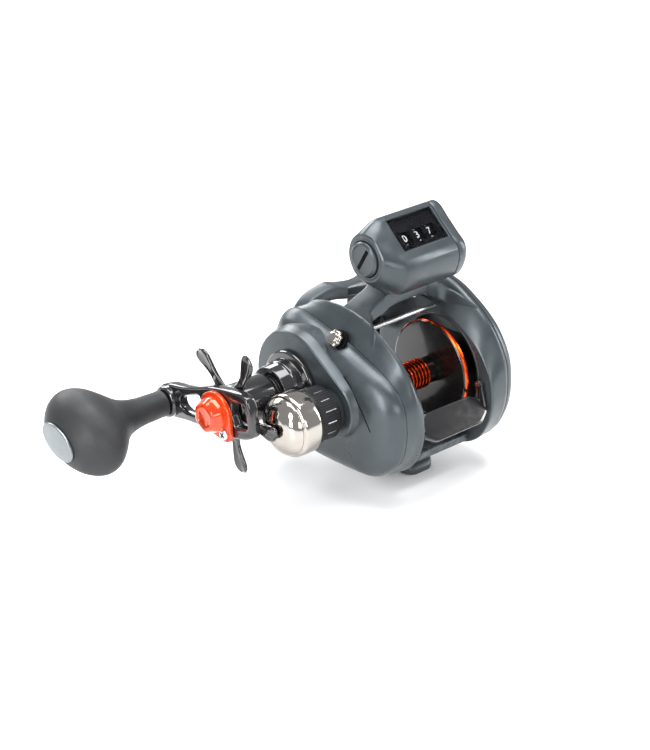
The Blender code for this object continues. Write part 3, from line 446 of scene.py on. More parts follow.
def smooth_outline(points, per_point=5):
    """A closed Catmull-Rom curve through the points."""
    curve = []
    count = len(points)
    for i in range(count):
        p0, p1, p2, p3 = (Vector(points[(i + k) % count]) for k in (-1, 0, 1, 2))
        for step in range(per_point):
            t = step / per_point
            curve.append(0.5 * (2 * p1 + (p2 - p0) * t
                                + (2 * p0 - 5 * p1 + 4 * p2 - p3) * t * t
                                + (3 * p1 - p0 - 3 * p2 + p3) * t ** 3))
    return curve


def lower_top(points, drop):
    """Squeeze an outline's height so that its top comes down by the given drop."""
    low = min(z for _, z in points)
    high = max(z for _, z in points)
    return [(y, low + (z - low) * (high - drop - low) / (high - low)) for y, z in points]


def shrink(points, scale, middle):
    cy, cz = middle
    return [(cy + (y - cy) * scale, cz + (z - cz) * scale) for y, z in points]


def blend(first, second, share):
    return [(a[0] + (b[0] - a[0]) * share, a[1] + (b[1] - a[1]) * share)
            for a, b in zip(first, second)]


def curve_weights(t):
    """Shares of four neighbours in a smooth curve between the middle two."""
    return (0.5 * (-t + 2 * t * t - t ** 3), 0.5 * (2 - 5 * t * t + 3 * t ** 3),
            0.5 * (t + 4 * t * t - 3 * t ** 3), 0.5 * (-t * t + t ** 3))


def eased(sections, between=4):
    """More sections between the given ones, on a smooth curve through them."""
    out = []
    for i in range(len(sections) - 1):
        picks = [sections[min(max(i + k, 0), len(sections) - 1)] for k in (-1, 0, 1, 2)]
        for step in range(between):
            t = step / between
            weights = curve_weights(t)
            x = sum(w * s[0] for w, s in zip(weights, picks))
            outline = []
            for corner in zip(*(s[1] for s in picks)):
                outline.append((sum(w * c[0] for w, c in zip(weights, corner)),
                                sum(w * c[1] for w, c in zip(weights, corner))))
            out.append((x, outline))
    out.append(sections[-1])
    return out


def loft_mesh(name, sections, per_point=5, caps=(True, True)):
    """A body through outlines at stations along X."""
    bm = bmesh.new()
    rings = []
    for x, outline in sections:
        curve = smooth_outline(outline, per_point) if per_point > 1 else [
            Vector(p) for p in outline]
        rings.append([bm.verts.new((x, p.x, p.y)) for p in curve])
    skin(bm, rings, caps)
    return from_bmesh(name, bm)


def plate_mesh(name, outlines, x0, x1, round_by=0.0, resolution=2):
    """A flat plate square to X from (y, z) outlines, the first solid and the rest holes."""
    curve = bpy.data.curves.new(name, "CURVE")
    curve.dimensions = "2D"
    curve.fill_mode = "BOTH"
    curve.extrude = max((x1 - x0) / 2 - round_by, 0.001)
    curve.bevel_depth = round_by
    curve.bevel_resolution = resolution
    curve.offset = -round_by
    for outline in outlines:
        spline = curve.splines.new("POLY")
        spline.points.add(len(outline) - 1)
        for point, (y, z) in zip(spline.points, outline):
            point.co = (y, z, 0.0, 1.0)
        spline.use_cyclic_u = True
    bm = bmesh.new()
    bm.from_mesh(plain_mesh(curve))
    bmesh.ops.remove_doubles(bm, verts=bm.verts, dist=0.0005)
    swap = Matrix(((0, 0, 1, (x0 + x1) / 2), (1, 0, 0, 0), (0, 1, 0, 0), (0, 0, 0, 1)))
    return from_bmesh(name, bm, swap)


def stadium(first, r1, second, r2, count=60):
    """The outline around two circles, as (y, z)."""
    (y1, z1), (y2, z2) = first, second
    along = atan2(z2 - z1, y2 - y1)
    spread = acos((r1 - r2) / hypot(y2 - y1, z2 - z1))
    rest = pi - spread
    points = []
    for k in range(count + 1):
        angle = along - spread + 2 * spread * k / count
        points.append((y2 + r2 * cos(angle), z2 + r2 * sin(angle)))
    for k in range(count // 2 + 1):
        angle = along + spread + 2 * rest * k / (count // 2)
        points.append((y1 + r1 * cos(angle), z1 + r1 * sin(angle)))
    return points


def box_mesh(name, low, high, move=None):
    """A box between two corners in millimetres."""
    bm = bmesh.new()
    size = [b - a for a, b in zip(low, high)]
    middle = [(a + b) / 2 for a, b in zip(low, high)]
    bmesh.ops.create_cube(bm, size=1.0, matrix=Matrix.Translation(middle)
                          @ Matrix.Diagonal((*size, 1.0)))
    return from_bmesh(name, bm, move)


def bar_mesh(name, stations, corner, along="X", steps=3):
    """A bar through rounded rectangles at stations along X or Y."""
    bm = bmesh.new()
    rings = []
    for place, (a0, b0), (a1, b1) in stations:
        outline = fillet([(a0, b0), (a0, b1), (a1, b1), (a1, b0)], corner, True, steps)
        if along == "X":
            rings.append([bm.verts.new((place, p.x, p.y)) for p in outline])
        else:
            rings.append([bm.verts.new((p.x, place, p.y)) for p in outline])
    skin(bm, rings)
    return from_bmesh(name, bm)


def smooth_stations(points, between=5):
    """Rows of numbers on smooth curves through the given rows."""
    out = []
    for i in range(len(points) - 1):
        picks = [points[min(max(i + k, 0), len(points) - 1)] for k in (-1, 0, 1, 2)]
        for step in range(between):
            t = step / between
            weights = curve_weights(t)
            out.append(tuple(sum(w * p[j] for w, p in zip(weights, picks))
                             for j in range(len(points[0]))))
    out.append(points[-1])
    return out


def soft_sections(stations, between=5):
    """More stations of a bar, on smooth curves through the given ones."""
    rows = smooth_stations([(s, *low, *high) for s, low, high in stations], between)
    return [(s, (a0, b0), (a1, b1)) for s, a0, b0, a1, b1 in rows]


def tube(name, points, radius, material, body, sides=10):
    """A thin round line through points in world metres, such as a seam."""
    curve = bpy.data.curves.new(name, "CURVE")
    curve.dimensions = "3D"
    curve.bevel_depth = radius * MM
    curve.bevel_resolution = sides // 4
    curve.use_fill_caps = True
    spline = curve.splines.new("POLY")
    spline.points.add(len(points) - 1)
    for point, co in zip(spline.points, points):
        point.co = (*co, 1.0)
    return finish_piece(linked(name, plain_mesh(curve)), material, body, 60.0)


def joined(objects, name):
    """One object from several that share a material."""
    bm = bmesh.new()
    for obj in objects:
        mesh = obj.data.copy()
        mesh.transform(obj.matrix_world)
        bm.from_mesh(mesh)
        bpy.data.objects.remove(obj, do_unlink=True)
    mesh = bpy.data.meshes.new(name)
    bm.to_mesh(mesh)
    bm.free()
    return linked(name, mesh)


# ---------------------------------------------------------------- frame

def frame_pieces():
    """The two rings, the bridge, the hood, the spine and the floor."""
    left = [(-SEAM, GEAR_SIDE), (-26.0, blend(lower_top(RING, 3.0), GEAR_SIDE, 0.45)),
            (-23.0, lower_top(RING, 3.0)), (-WALL_IN - 0.6, lower_top(RING, 9.0)),
            (-WALL_IN, shrink(lower_top(RING, 9.5), 0.985, (4, 0)))]
    ring = loft_mesh("frame_left_ring", eased(left, 4))
    hollow = shrink(lower_top(RING, 5.0), 0.88, (4, 0))
    boolean(ring, lathe_cutter("recess", DOOR_R, -22.0, -16.0))
    cutter = loft_mesh("cutter", [(-SEAM - 1, shrink(GEAR_SIDE, 0.92, (6, -1))),
                                  (-25.0, hollow)], 2)
    boolean(ring, cutter)
    finish_piece(settled(ring), GUNMETAL, "frame", 30.0, ("frame",))

    right = [(WALL_IN, shrink(lower_top(RING, 9.5), 0.985, (4, 0))),
             (WALL_IN + 0.6, lower_top(RING, 8.8)), (23.0, lower_top(RING, 4.5)),
             (26.0, lower_top(RING, 1.0)), (27.8, RING), (SEAM, shrink(RING, 0.985, (3, 0)))]
    ring = loft_mesh("frame_right_ring", eased(right, 4))
    door = lathe_cutter("door", DOOR_R, 16.0, 26.0)
    boolean(ring, door)
    cutter = loft_mesh("cutter", [(22.5, shrink(lower_top(RING, 5.0), 0.88, (4, 0))),
                                  (SEAM + 1, shrink(RING, 0.90, (3, -1)))], 2)
    boolean(ring, cutter)
    finish_piece(settled(ring), GUNMETAL, "frame", 30.0)

    lathe("frame_door_edge", [(DOOR_R, 19.3), (23.4, 19.3), (23.6, 19.6), (23.6, 20.6),
                              (DOOR_R, 20.6)], AXLE, GUNMETAL, "frame", ring=True,
          round_by=0.2, sides=128)

    crown = ((-1.0, 36.6), (14.0, 43.2))
    bridge = bar_mesh("frame_bridge", soft_sections([
        (-27.0, (-8.0, 12.0), (20.0, 24.0)), (-24.0, (-6.0, 20.0), (19.0, 31.0)),
        (-20.0, (1.5, 28.8), (16.0, 36.0)), (-13.0, (0.5, 33.6), (14.0, 40.6)),
        (-8.0, *crown), (8.0, *crown),
        (13.0, (0.5, 33.6), (14.0, 41.5)), (20.0, (0.0, 29.3), (16.0, 37.5)),
        (24.0, (-8.0, 22.0), (19.0, 34.0)), (27.0, (-14.0, 14.0), (22.0, 30.0))]), 1.4)
    finish_piece(bridge, GUNMETAL, "frame", 30.0)

    half = [(8.0, (29.0, 29.0), (38.5, 34.6)), (13.0, (31.0, 29.3), (39.5, 35.6)),
            (20.0, (32.5, 28.6), (41.0, 33.6)), (25.0, (33.5, 25.5), (41.0, 31.2)),
            (28.8, (34.0, 21.5), (41.0, 27.0))]
    left = [(-x, low, high) for x, low, high in reversed(half)]
    hood = bar_mesh("frame_hood", soft_sections(
        left + [(0.0, (27.0, 28.8), (37.5, 33.8))] + half), 1.5)
    finish_piece(hood, GUNMETAL, "frame", 30.0)
    spine = bar_mesh("frame_spine", soft_sections([
        (10.0, (-9.0, 37.0), (9.0, 42.6)), (20.0, (-7.0, 33.8), (7.0, 39.0)),
        (30.0, (-8.0, 30.0), (8.0, 34.4))]), 1.5, along="Y")
    finish_piece(spine, GUNMETAL, "frame", 30.0)
    floor = bar_mesh("frame_floor", [(-21.0, (-18.0, -29.8), (20.0, -26.0)),
                                     (21.0, (-18.0, -29.8), (8.0, -26.0))], 1.0)
    finish_piece(floor, GUNMETAL, "frame", 30.0)
    pad = bar_mesh("frame_foot_pad", [(-6.0, (-8.5, -33.7), (8.5, -28.0)),
                                      (18.0, (-8.5, -33.7), (8.5, -28.0))], 1.2, along="Y")
    finish_piece(pad, GUNMETAL, "frame", 30.0)


def lathe_cutter(name, radius, x0, x1, at=AXLE, sides=128):
    """A plain round cutter along X."""
    bm = bmesh.new()
    turn = Matrix.Translation(((x0 + x1) / 2, *at)) @ Matrix.Rotation(pi / 2, 4, "Y")
    bmesh.ops.create_cone(bm, cap_ends=True, segments=sides, radius1=radius, radius2=radius,
                          depth=x1 - x0, matrix=turn)
    return from_bmesh(name, bm)


def foot():
    """The foot with its rounded toes."""
    obj = bar_mesh("foot_shape", soft_sections([
        (-10.5, (-4.5, -41.0), (4.5, -38.8)), (-8.5, (-7.0, -41.0), (7.0, -36.8)),
        (-3.0, (-8.0, -41.0), (8.0, -34.0)), (20.0, (-8.0, -41.0), (8.0, -34.0)),
        (31.0, (-8.0, -41.0), (8.0, -37.5)), (44.5, (-7.0, -41.0), (7.0, -38.8)),
        (46.5, (-4.5, -41.0), (4.5, -39.2))], 4), 1.0, along="Y")
    finish_piece(obj, GUNMETAL, "frame", 30.0, ("reel_foot",))


# ---------------------------------------------------------------- side covers

def gear_cover():
    """The gear-side dome, its raised platform with a bright wide edge, and its seam."""
    middle = (12.0, -2.0)
    dome = [(-SEAM - 0.3, GEAR_SIDE), (-30.0, shrink(GEAR_SIDE, 0.999, middle)),
            (-31.4, shrink(GEAR_SIDE, 0.992, middle)),
            (-33.6, shrink(GEAR_SIDE, 0.962, middle)),
            (-36.5, shrink(GEAR_SIDE, 0.89, middle)),
            (-38.8, shrink(GEAR_SIDE, 0.77, middle)), (-39.8, shrink(GEAR_SIDE, 0.6, middle))]
    obj = loft_mesh("cover_dome", eased(dome, 4), caps=(False, True))
    finish_piece(obj, GUNMETAL, "frame", 30.0, ("gear_side_cover",))
    levels = ((-32.0, 14.2, 24.6), (-38.9, 14.0, 24.4), (-39.6, 13.6, 24.0),
              (-42.6, 12.7, 23.1), (-43.15, 12.2, 22.6), (-43.3, 11.6, 22.0))
    sections = [(x, stadium(AXLE, small, DRIVE, large)) for x, small, large in levels]
    obj = loft_mesh("cover_platform", sections, 1)
    finish_piece(obj, GUNMETAL, "frame", 25.0)
    lathe("cover_boss", [(8.5, -43.0), (8.5, -63.6), (8.1, -64.0), (6.0, -64.0),
                         (6.0, -43.0)], AXLE, GUNMETAL_DARK, "frame", ring=True)
    seam = []
    for k in range(29):
        t = k / 28
        seam.append((-3.2 - 16.5 * t, 14.6 - 9.5 * t - 10.0 * t * t))    # bends down
    tube("cover_seam", on_cover(seam), 0.24, BLACK_AND_SLOT_SHADE, "frame")


def on_cover(path):
    """Points of the dome under a path given as (y, z)."""
    dome = bpy.data.objects["cover_dome"]
    tree = BVHTree.FromPolygons([v.co for v in dome.data.vertices],
                                [tuple(p.vertices) for p in dome.data.polygons])
    points = []
    for y, z in path:
        start = ORIGIN + Vector((-70.0, y, z)) * MM
        hit = tree.ray_cast(start, Vector((1, 0, 0)))[0]
        if hit:
            points.append(hit)
    return points


def palm_cover():
    """The palm-side shell."""
    middle = (3.0, 0.0)
    base = shrink(RING, 0.985, middle)
    dome = [(SEAM + 0.3, base), (30.0, shrink(base, 0.999, middle)),
            (31.2, shrink(base, 0.992, middle)), (33.0, shrink(base, 0.96, middle)),
            (34.7, shrink(base, 0.87, middle)), (35.4, shrink(base, 0.74, middle)),
            (35.6, shrink(base, 0.55, middle))]
    obj = loft_mesh("palm_dome", eased(dome, 4), caps=(False, True))
    finish_piece(obj, GUNMETAL, "frame", 30.0, ("palm_side_cover",))


# ---------------------------------------------------------------- spool and drive

def spool():
    """Dark glossy flanges with bright rims on an arbor of orange and black rings."""
    face = [(5.5, 0.1), (7.5, 1.5), (20.8, 1.5), (21.6, 0.8), (21.6, 2.6), (20.9, 3.1),
            (9.5, 3.5), (6.8, 3.6), (5.5, 3.6)]
    rim = [(21.5, 0.7), (21.8, 0.6), (22.0, 0.9), (22.0, 2.0), (21.5, 2.5)]
    for name, at, inward in (("left", SPOOL_LEFT, 1), ("right", SPOOL_RIGHT, -1)):
        lathe(f"spool_flange_{name}", [(r, at + inward * depth) for r, depth in face], AXLE,
              SPOOL_BLACK, "spool", ring=True, round_by=0.3, sides=144,
              replaces=("spool",) if inward > 0 else ())
        lathe(f"spool_rim_{name}", [(r, at + inward * depth) for r, depth in rim], AXLE,
              ORANGE, "spool", ring=True, round_by=0.15, sides=144)
    low, high = SPOOL_LEFT + 0.1, SPOOL_RIGHT - 0.1
    lathe("spool_hub", [(2.3, low), (5.7, low), (5.7, high), (2.3, high)], AXLE,
          SPOOL_BLACK, "spool", ring=True)
    for k in range(BANDS):
        x = BAND_START - BAND_PITCH * k
        band = [(5.6, x - 0.5), (6.2, x - 0.5), (6.5, x - 0.25), (6.5, x + 0.25),
                (6.2, x + 0.5), (5.6, x + 0.5)]
        lathe(f"spool_band_{k}", band, AXLE, BAND_ORANGE, "spool", ring=True, round_by=0.1,
              sides=72)


def collar():
    """The stepped glossy collar that the star stands on."""
    outline = [(15.2, -43.6), (15.2, -45.2), (14.6, -46.0), (12.0, -46.2), (12.0, -50.0),
               (11.4, -50.6), (11.0, -56.0), (4.2, -56.0), (4.2, -54.6), (8.0, -54.6),
               (8.0, -43.6)]
    lathe("collar_shape", outline, DRIVE, GLOSS_BLACK, "frame", ring=True, round_by=0.4,
          replaces=("drive_collar",))


def star():
    """The hub and five leaf-tipped spokes, each with a shallow channel."""
    hub = [(8.6, -58.0), (9.4, -59.5), (9.4, STAR_OUT + 1.0), (8.4, STAR_OUT),
           (3.3, STAR_OUT), (3.3, -58.0)]
    lathe("star_hub", hub, DRIVE, GLOSS_BLACK, "star", ring=True, round_by=0.5,
          replaces=("star_drag",))
    leaf = [(7.0, 0.0, 3.6), (12.0, 0.5, 2.5), (16.0, 0.9, 2.0), (20.0, 0.8, 2.7),
            (24.0, 0.3, 3.6), (27.0, -0.4, 3.1), (28.4, -0.8, 1.4)]
    for k in range(STAR_SPOKES):
        bm = bmesh.new()
        rings = []
        for reach, sweep, half in smooth_stations(leaf):
            thinner = 1 - ((reach - 25) / 4.2) ** 2 if reach >= 25 else 1.0
            thick = STAR_THICK * max(0.25, thinner)
            ring = []
            for i in range(24):
                a = 2 * pi * i / 24
                wide = sweep + half * cos(a)
                deep = thick * (abs(sin(a)) ** 0.7) * (1 if sin(a) > 0 else -1)
                if reach > 14 and deep < 0:
                    deep += 0.55 * (1 - min(1.0, (abs(cos(a)) / 0.62) ** 4))
                ring.append(bm.verts.new((STAR_MIDDLE + deep, reach, wide)))
            rings.append(ring)
        skin(bm, rings)
        turn = Matrix.Rotation(STAR_PHASE + 2 * pi * k / STAR_SPOKES, 4, "X")
        obj = from_bmesh(f"star_spoke_{k}", bm, Matrix.Translation((0, *DRIVE)) @ turn)
        finish_piece(obj, GLOSS_BLACK, "star", 40.0)


# ---------------------------------------------------------------- handle

def tilted(points):
    """Points along and across the arm as (y, z)."""
    return [(DRIVE[0] + u * cos(ARM_TILT) - v * sin(ARM_TILT),
             DRIVE[1] + u * sin(ARM_TILT) + v * cos(ARM_TILT)) for u, v in points]


def handle():
    """The open arm with its knob lug, the orange retainer and its screw."""
    upper = [(-20.5, 6.2), (-17.0, 9.4), (-8.0, 10.4), (4.0, 10.2), (14.0, 8.6), (24.0, 7.6),
             (34.0, 7.4), (39.5, 5.6), (41.6, 2.0)]
    outline = upper + [(u, -v) for u, v in reversed(upper)]
    front = [(12.0, -4.6), (24.0, -3.6), (26.8, -1.5), (26.8, 1.5), (24.0, 3.6), (12.0, 5.4)]
    rear = [(-17.6, -4.6), (-9.6, -5.4), (-8.0, 0.0), (-9.6, 5.4), (-17.6, 5.4)]
    holes = [fillet(tilted(front), 1.6, True), fillet(tilted(rear), 1.4, True)]
    body = smooth_outline(tilted(outline), 4)
    obj = plate_mesh("arm_plate", [body] + holes, ARM_OUT, ARM_IN, 1.1, 3)
    finish_piece(obj, GLOSS_BLACK, "handle", 40.0, ("handle_arm",))
    lathe("arm_lug", [(2.4, ARM_IN - 0.3), (6.2, ARM_IN - 0.3), (6.8, ARM_IN - 1.2),
                      (6.8, LUG_OUT + 0.8), (6.2, LUG_OUT), (2.4, LUG_OUT)], KNOB,
          GLOSS_BLACK, "handle", ring=True, round_by=0.3)
    plate = stadium(RETAINER_SCREW, 3.6, DRIVE, 9.6, 48)
    obj = plate_mesh("retainer_plate", [plate], PLATE_MID - 1.0, PLATE_MID + 1.0, 0.45, 3)
    finish_piece(obj, ORANGE_LACQUER, "handle", 40.0, ("nut_retainer",))
    near = ARM_OUT - 1.0
    boss = [(0, near), (8.0, near - 0.8), (7.7, near - 3.6), (6.9, near - 5.0),
            (6.2, near - 6.6), (4.6, near - 7.0), (4.0, near - 6.3), (0, near - 6.2)]

    def fluted(angle, radius, x):
        return -0.35 * (0.5 + 0.5 * cos(6 * angle)) * min(1.0, radius / 4.0)

    lathe("retainer_boss", boss, DRIVE, ORANGE_LACQUER, "handle", round_by=0.45, wave=fluted,
          sides=96)
    head = PLATE_MID - 1.0
    lathe("screw_head", [(0, head), (2.3, head), (2.4, head - 0.7), (1.9, head - 1.3),
                         (0, head - 1.4)], RETAINER_SCREW, SILVER, "handle", round_by=0.25,
          sides=48, replaces=("retainer_screw",))
    # The cross slot is not cut into the screw head: thin near-black boxes paint the shade
    # inside it.
    slot_shades = []
    for k in range(2):
        turn = (Matrix.Translation((0, *RETAINER_SCREW))
                @ Matrix.Rotation(SCREW_TURN + pi / 2 * k, 4, "X"))
        slot_shades.append(box_mesh("slot", (head - 1.46, -1.3, -0.25), (head - 1.2, 1.3, 0.25),
                              turn))
    finish_piece(joined(slot_shades, "screw_slot_shade"), BLACK_AND_SLOT_SHADE, "handle")


def knob():
    """The egg-shaped soft knob flowing out of its stem, and the plate on its end."""
    rows = [(LUG_OUT - 0.8, 5.2, 5.2), (LUG_OUT - 1.1, 5.8, 5.8), (-89.0, 5.7, 5.7),
            (-93.0, 5.8, 5.8), (-98.0, 6.0, 6.0), (-103.0, 6.7, 6.6), (-108.0, 8.4, 8.0),
            (-112.0, 11.4, 10.0), (-116.0, 15.8, 12.4), (-120.0, 19.4, 14.4),
            (-124.0, 21.3, 15.4), (-128.0, 21.3, 15.4), (-132.0, 19.4, 14.1),
            (-135.0, 16.8, 12.2), (-137.5, 13.4, 9.7), (-138.8, 10.9, 7.9),
            (-139.2, 9.6, 6.9)]
    bm = bmesh.new()
    rings = []
    for x, long, short in smooth_stations(rows, 4):
        ring = []
        for i in range(72):
            a = 2 * pi * i / 72
            ring.append(bm.verts.new((x, long * cos(a), short * sin(a))))
        rings.append(ring)
    skin(bm, rings)
    move = Matrix.Translation((0, *KNOB)) @ Matrix.Rotation(KNOB_LEAN, 4, "X")
    obj = from_bmesh("knob_body", bm, move)
    finish_piece(obj, RUBBER, "knob", 45.0, ("knob",))
    oval = [(10.4 * cos(2 * pi * k / 64), 6.6 * sin(2 * pi * k / 64)) for k in range(64)]
    turned = [(KNOB[0] + y * cos(KNOB_LEAN) - z * sin(KNOB_LEAN),
               KNOB[1] + y * sin(KNOB_LEAN) + z * cos(KNOB_LEAN)) for y, z in oval]
    obj = plate_mesh("knob_inlay", [turned], PLATE_X - 1.4, PLATE_X - 0.1, 0.45, 3)
    finish_piece(obj, PLATE_SILVER, "knob", 40.0, ("knob_plate",))


# ---------------------------------------------------------------- tension cap, thumb bar

def tension_cap():
    """The chrome cap with its dome and bead, and the knurled ring with bright ticks."""
    outline = [(8.8, -58.5), (12.6, -58.5), (13.3, -59.2), (13.5, -60.4), (13.5, -66.6),
               (13.0, -67.6), (12.2, -67.8), (12.0, -68.2), (12.3, -68.6), (12.0, -69.2),
               (11.3, -70.3), (10.2, -71.5), (8.6, -72.6), (6.4, -73.5), (3.6, -74.05),
               (0, CAP_END)]
    lathe("cap_shell", outline, AXLE, CHROME, "cast_control", round_by=0.5, sides=144,
          replaces=("cast_control_cap",), angle=50.0)
    ring = [(10.6, -46.6), (11.3, -47.1), (11.4, -48.2), (11.4, -56.4), (11.2, -57.4),
            (10.6, -58.0), (8.8, -58.0), (8.8, -46.6)]

    def knurl(angle, radius, x):
        if radius < 11.2 or x > -48.0 or x < -56.6:
            return 0.0
        return 0.22 * (abs(sin(30 * angle)) ** 0.6) - 0.05

    lathe("ring_knurled", ring, AXLE, BLACK_PLASTIC, "cast_control", ring=True,
          round_by=0.3, sides=480, wave=knurl, replaces=("cast_control_ring",))
    ticks = []
    for k in range(15):
        turn = Matrix.Rotation(2 * pi * k / 15 + 0.1, 4, "X")
        high = -50.2 if k % 3 else -49.2
        ticks.append(box_mesh("tick", (-54.6, 11.3, -0.17), (high, 11.66, 0.17), turn))
    finish_piece(joined(ticks, "ring_ticks"), SILVER, "cast_control")


def thumb_bar():
    """The glossy sloping plate with its ears."""
    flat, fall = cos(THUMB_SLOPE), sin(THUMB_SLOPE)
    down = Matrix(((1, 0, 0, 0), (0, -flat, -fall, THUMB_TOP[0]),
                   (0, -fall, flat, THUMB_TOP[1]), (0, 0, 0, 1)))
    corners = [(-12.6, 0.1), (-18.5, 3.8), (-18.5, 9.2), (-13.0, 12.9), (13.0, 12.9),
               (18.5, 9.2), (18.5, 3.8), (12.6, 0.1)]
    outline = fillet(corners, 1.6, True, 5)
    obj = slab("thumb_plate", outline, -2.0, 0.0, 0.45, down)
    finish_piece(obj, GLOSS_BLACK, "thumb_bar", 40.0, ("thumb_bar",))
    inner = fillet([(x * 0.93, 6.5 + (t - 6.5) * 0.86) for x, t in corners], 1.4, True, 5)
    obj = slab("thumb_pad", inner, -0.3, 0.22, 0.12, down)
    finish_piece(obj, BLACK_PLASTIC, "thumb_bar", 40.0)
    for name, side in (("left", -1), ("right", 1)):
        ear = [(-26.9, 1.6), (-24.6, 2.4), (-23.0, 1.0), (-23.6, -1.6), (-26.4, -8.4),
               (-29.6, -8.8)]
        x = side * THUMB_EAR_X
        obj = plate_mesh(f"thumb_ear_{name}", [fillet(ear, 0.8, True)], x - 0.7, x + 0.7,
                         0.25, 2)
        finish_piece(obj, GLOSS_BLACK, "thumb_bar", 40.0)


def slab(name, outline, low, high, round_by, move):
    """A plate with rounded edges, drawn in its own plane and moved into place."""
    bm = bmesh.new()
    ends = [[bm.verts.new((p.x, p.y, z)) for p in outline] for z in (low, high)]
    bm.faces.new(ends[0])
    bm.faces.new(ends[1])
    for i in range(len(outline)):
        k = (i + 1) % len(outline)
        bm.faces.new((ends[0][i], ends[0][k], ends[1][k], ends[1][i]))
    obj = from_bmesh(name, bm, move)
    bevel(obj, round_by, 3, 50.0)
    return settled(obj)


def clicker():
    """The little ribbed chrome button in a dark ring."""
    place = (Matrix.Translation(CLICKER_PLACE) @ Matrix.Rotation(CLICKER_LEAN, 4, "Y")
             @ Matrix.Rotation(pi / 2, 4, "Y"))

    def ribbed(angle, radius, x):
        return -0.4 * (abs(cos(4 * angle)) ** 1.5) if radius > 3.0 else 0.0

    outline = [(0, 4.0), (3.5, 4.0), (3.9, 4.4), (3.9, 5.4), (3.2, 6.1), (2.2, 6.2),
               (2.0, 6.7), (0, 6.7)]
    turned_piece("clicker_head", outline, place, CHROME, "clicker", ribbed,
                 ("clicker_button",))
    dark = [(0, 1.6), (4.6, 1.6), (4.7, 2.6), (4.3, 3.0), (0, 3.0)]
    turned_piece("clicker_seat", dark, place, BLACK_AND_SLOT_SHADE, "frame", None, ())


def turned_piece(name, outline, place, material, body, wave, replaces, sides=100):
    """A turned piece on any axis."""
    bm = bmesh.new()
    rings = []
    for radius, height in fillet(outline, 0.2, False, 3):
        if radius < 0.0001:
            rings.append([bm.verts.new((-height, 0, 0))])
            continue
        ring = []
        for k in range(sides):
            a = 2 * pi * k / sides
            r = radius + (wave(a, radius, height) if wave else 0.0)
            ring.append(bm.verts.new((-height, r * cos(a), r * sin(a))))
        rings.append(ring)
    for low, high in zip(rings, rings[1:]):
        skin_turned(bm, low, high)
    return finish_piece(from_bmesh(name, bm, place), material, body, 40.0, replaces)


# ---------------------------------------------------------------- counter

def on_face():
    """The move from the reading face's own plane to its place."""
    return Matrix.Translation((0, *FACE_TOP)) @ Matrix.Rotation(FACE_TILT, 4, "X")


def face_box(name, x0, x1, t0, t1, low, high):
    """A box set into the reading face: t runs down the face, height out of it."""
    return box_mesh(name, (x0, -t1, low), (x1, -t0, high), on_face())


def counter():
    """The housing, its end cap, the window with its panel and digits, and the reset knob."""
    middle = (0.0, 59.5)
    angles = [atan2(z - DRUM[1], y - DRUM[0]) for y, z in COUNTER]
    socket = [(DRUM[0] + 10.6 * cos(a), DRUM[1] + 10.6 * sin(a)) for a in angles]
    housing = [(-22.3, shrink(socket, 0.94, DRUM)), (-21.9, socket),
               (-18.4, blend(socket, COUNTER, 0.5)), (-14.6, blend(socket, COUNTER, 0.93)),
               (-13.2, COUNTER), (-8.0, COUNTER), (14.9, COUNTER),
               (15.2, shrink(COUNTER, 0.985, middle))]
    obj = loft_mesh("counter_body", housing, 6)
    boolean(obj, lathe_cutter("seat", 7.9, -30.0, -17.0, DRUM, 96))
    boolean(obj, face_box("opening", -10.8, 14.0, 1.6, 17.0, -2.6, 4.0))
    boolean(obj, lathe_cutter("drum_room", DRUM_ROOM, -8.4, 14.8, DRUM, 96))
    bevel(obj, 0.35, 2, 40.0)
    finish_piece(settled(obj), GUNMETAL, "frame", 30.0, ("counter_housing",))
    cap = [(15.5, shrink(COUNTER, 0.985, middle)), (15.8, COUNTER), (18.6, COUNTER),
           (19.7, shrink(COUNTER, 0.965, middle)), (20.5, shrink(COUNTER, 0.91, middle)),
           (20.8, shrink(COUNTER, 0.83, middle))]
    obj = loft_mesh("counter_cap", cap, 6)
    finish_piece(obj, GUNMETAL, "frame", 35.0, ("counter_end_cap",))
    lathe("reset_disc", [(0, -19.3), (7.4, -19.3), (7.5, -19.6), (7.5, -23.4), (6.7, -24.2),
                         (6.1, -24.2), (5.9, -23.9), (0, -23.9)], DRUM, GUNMETAL, "reset",
          round_by=0.25, replaces=("reset_knob",))
    # A near-black strip on the disc face paints the shade of the grip groove; no groove is cut.
    turn = Matrix.Translation((0, *DRUM)) @ Matrix.Rotation(radians(30.0), 4, "X")
    obj = box_mesh("reset_groove_shade", (-24.05, -0.95, -5.5), (-23.2, 0.95, 5.5), turn)
    bevel(obj, 0.3, 3, 40.0)
    finish_piece(settled(obj), BLACK_AND_SLOT_SHADE, "reset", 40.0)
    lathe("reset_rim", [(7.85, -20.2), (8.9, -20.2), (9.3, -21.9), (8.8, -22.6),
                        (7.85, -22.6)], DRUM, GUNMETAL, "frame", ring=True, round_by=0.3)
    pane_nodes()
    digits()


def pane_nodes():
    """Materials for the window and the panel behind it, which keep their CAD shape."""
    for node, material in (("counter_window", GLASS), ("dial_panel", BLACK_AND_SLOT_SHADE)):
        dress(node, material)


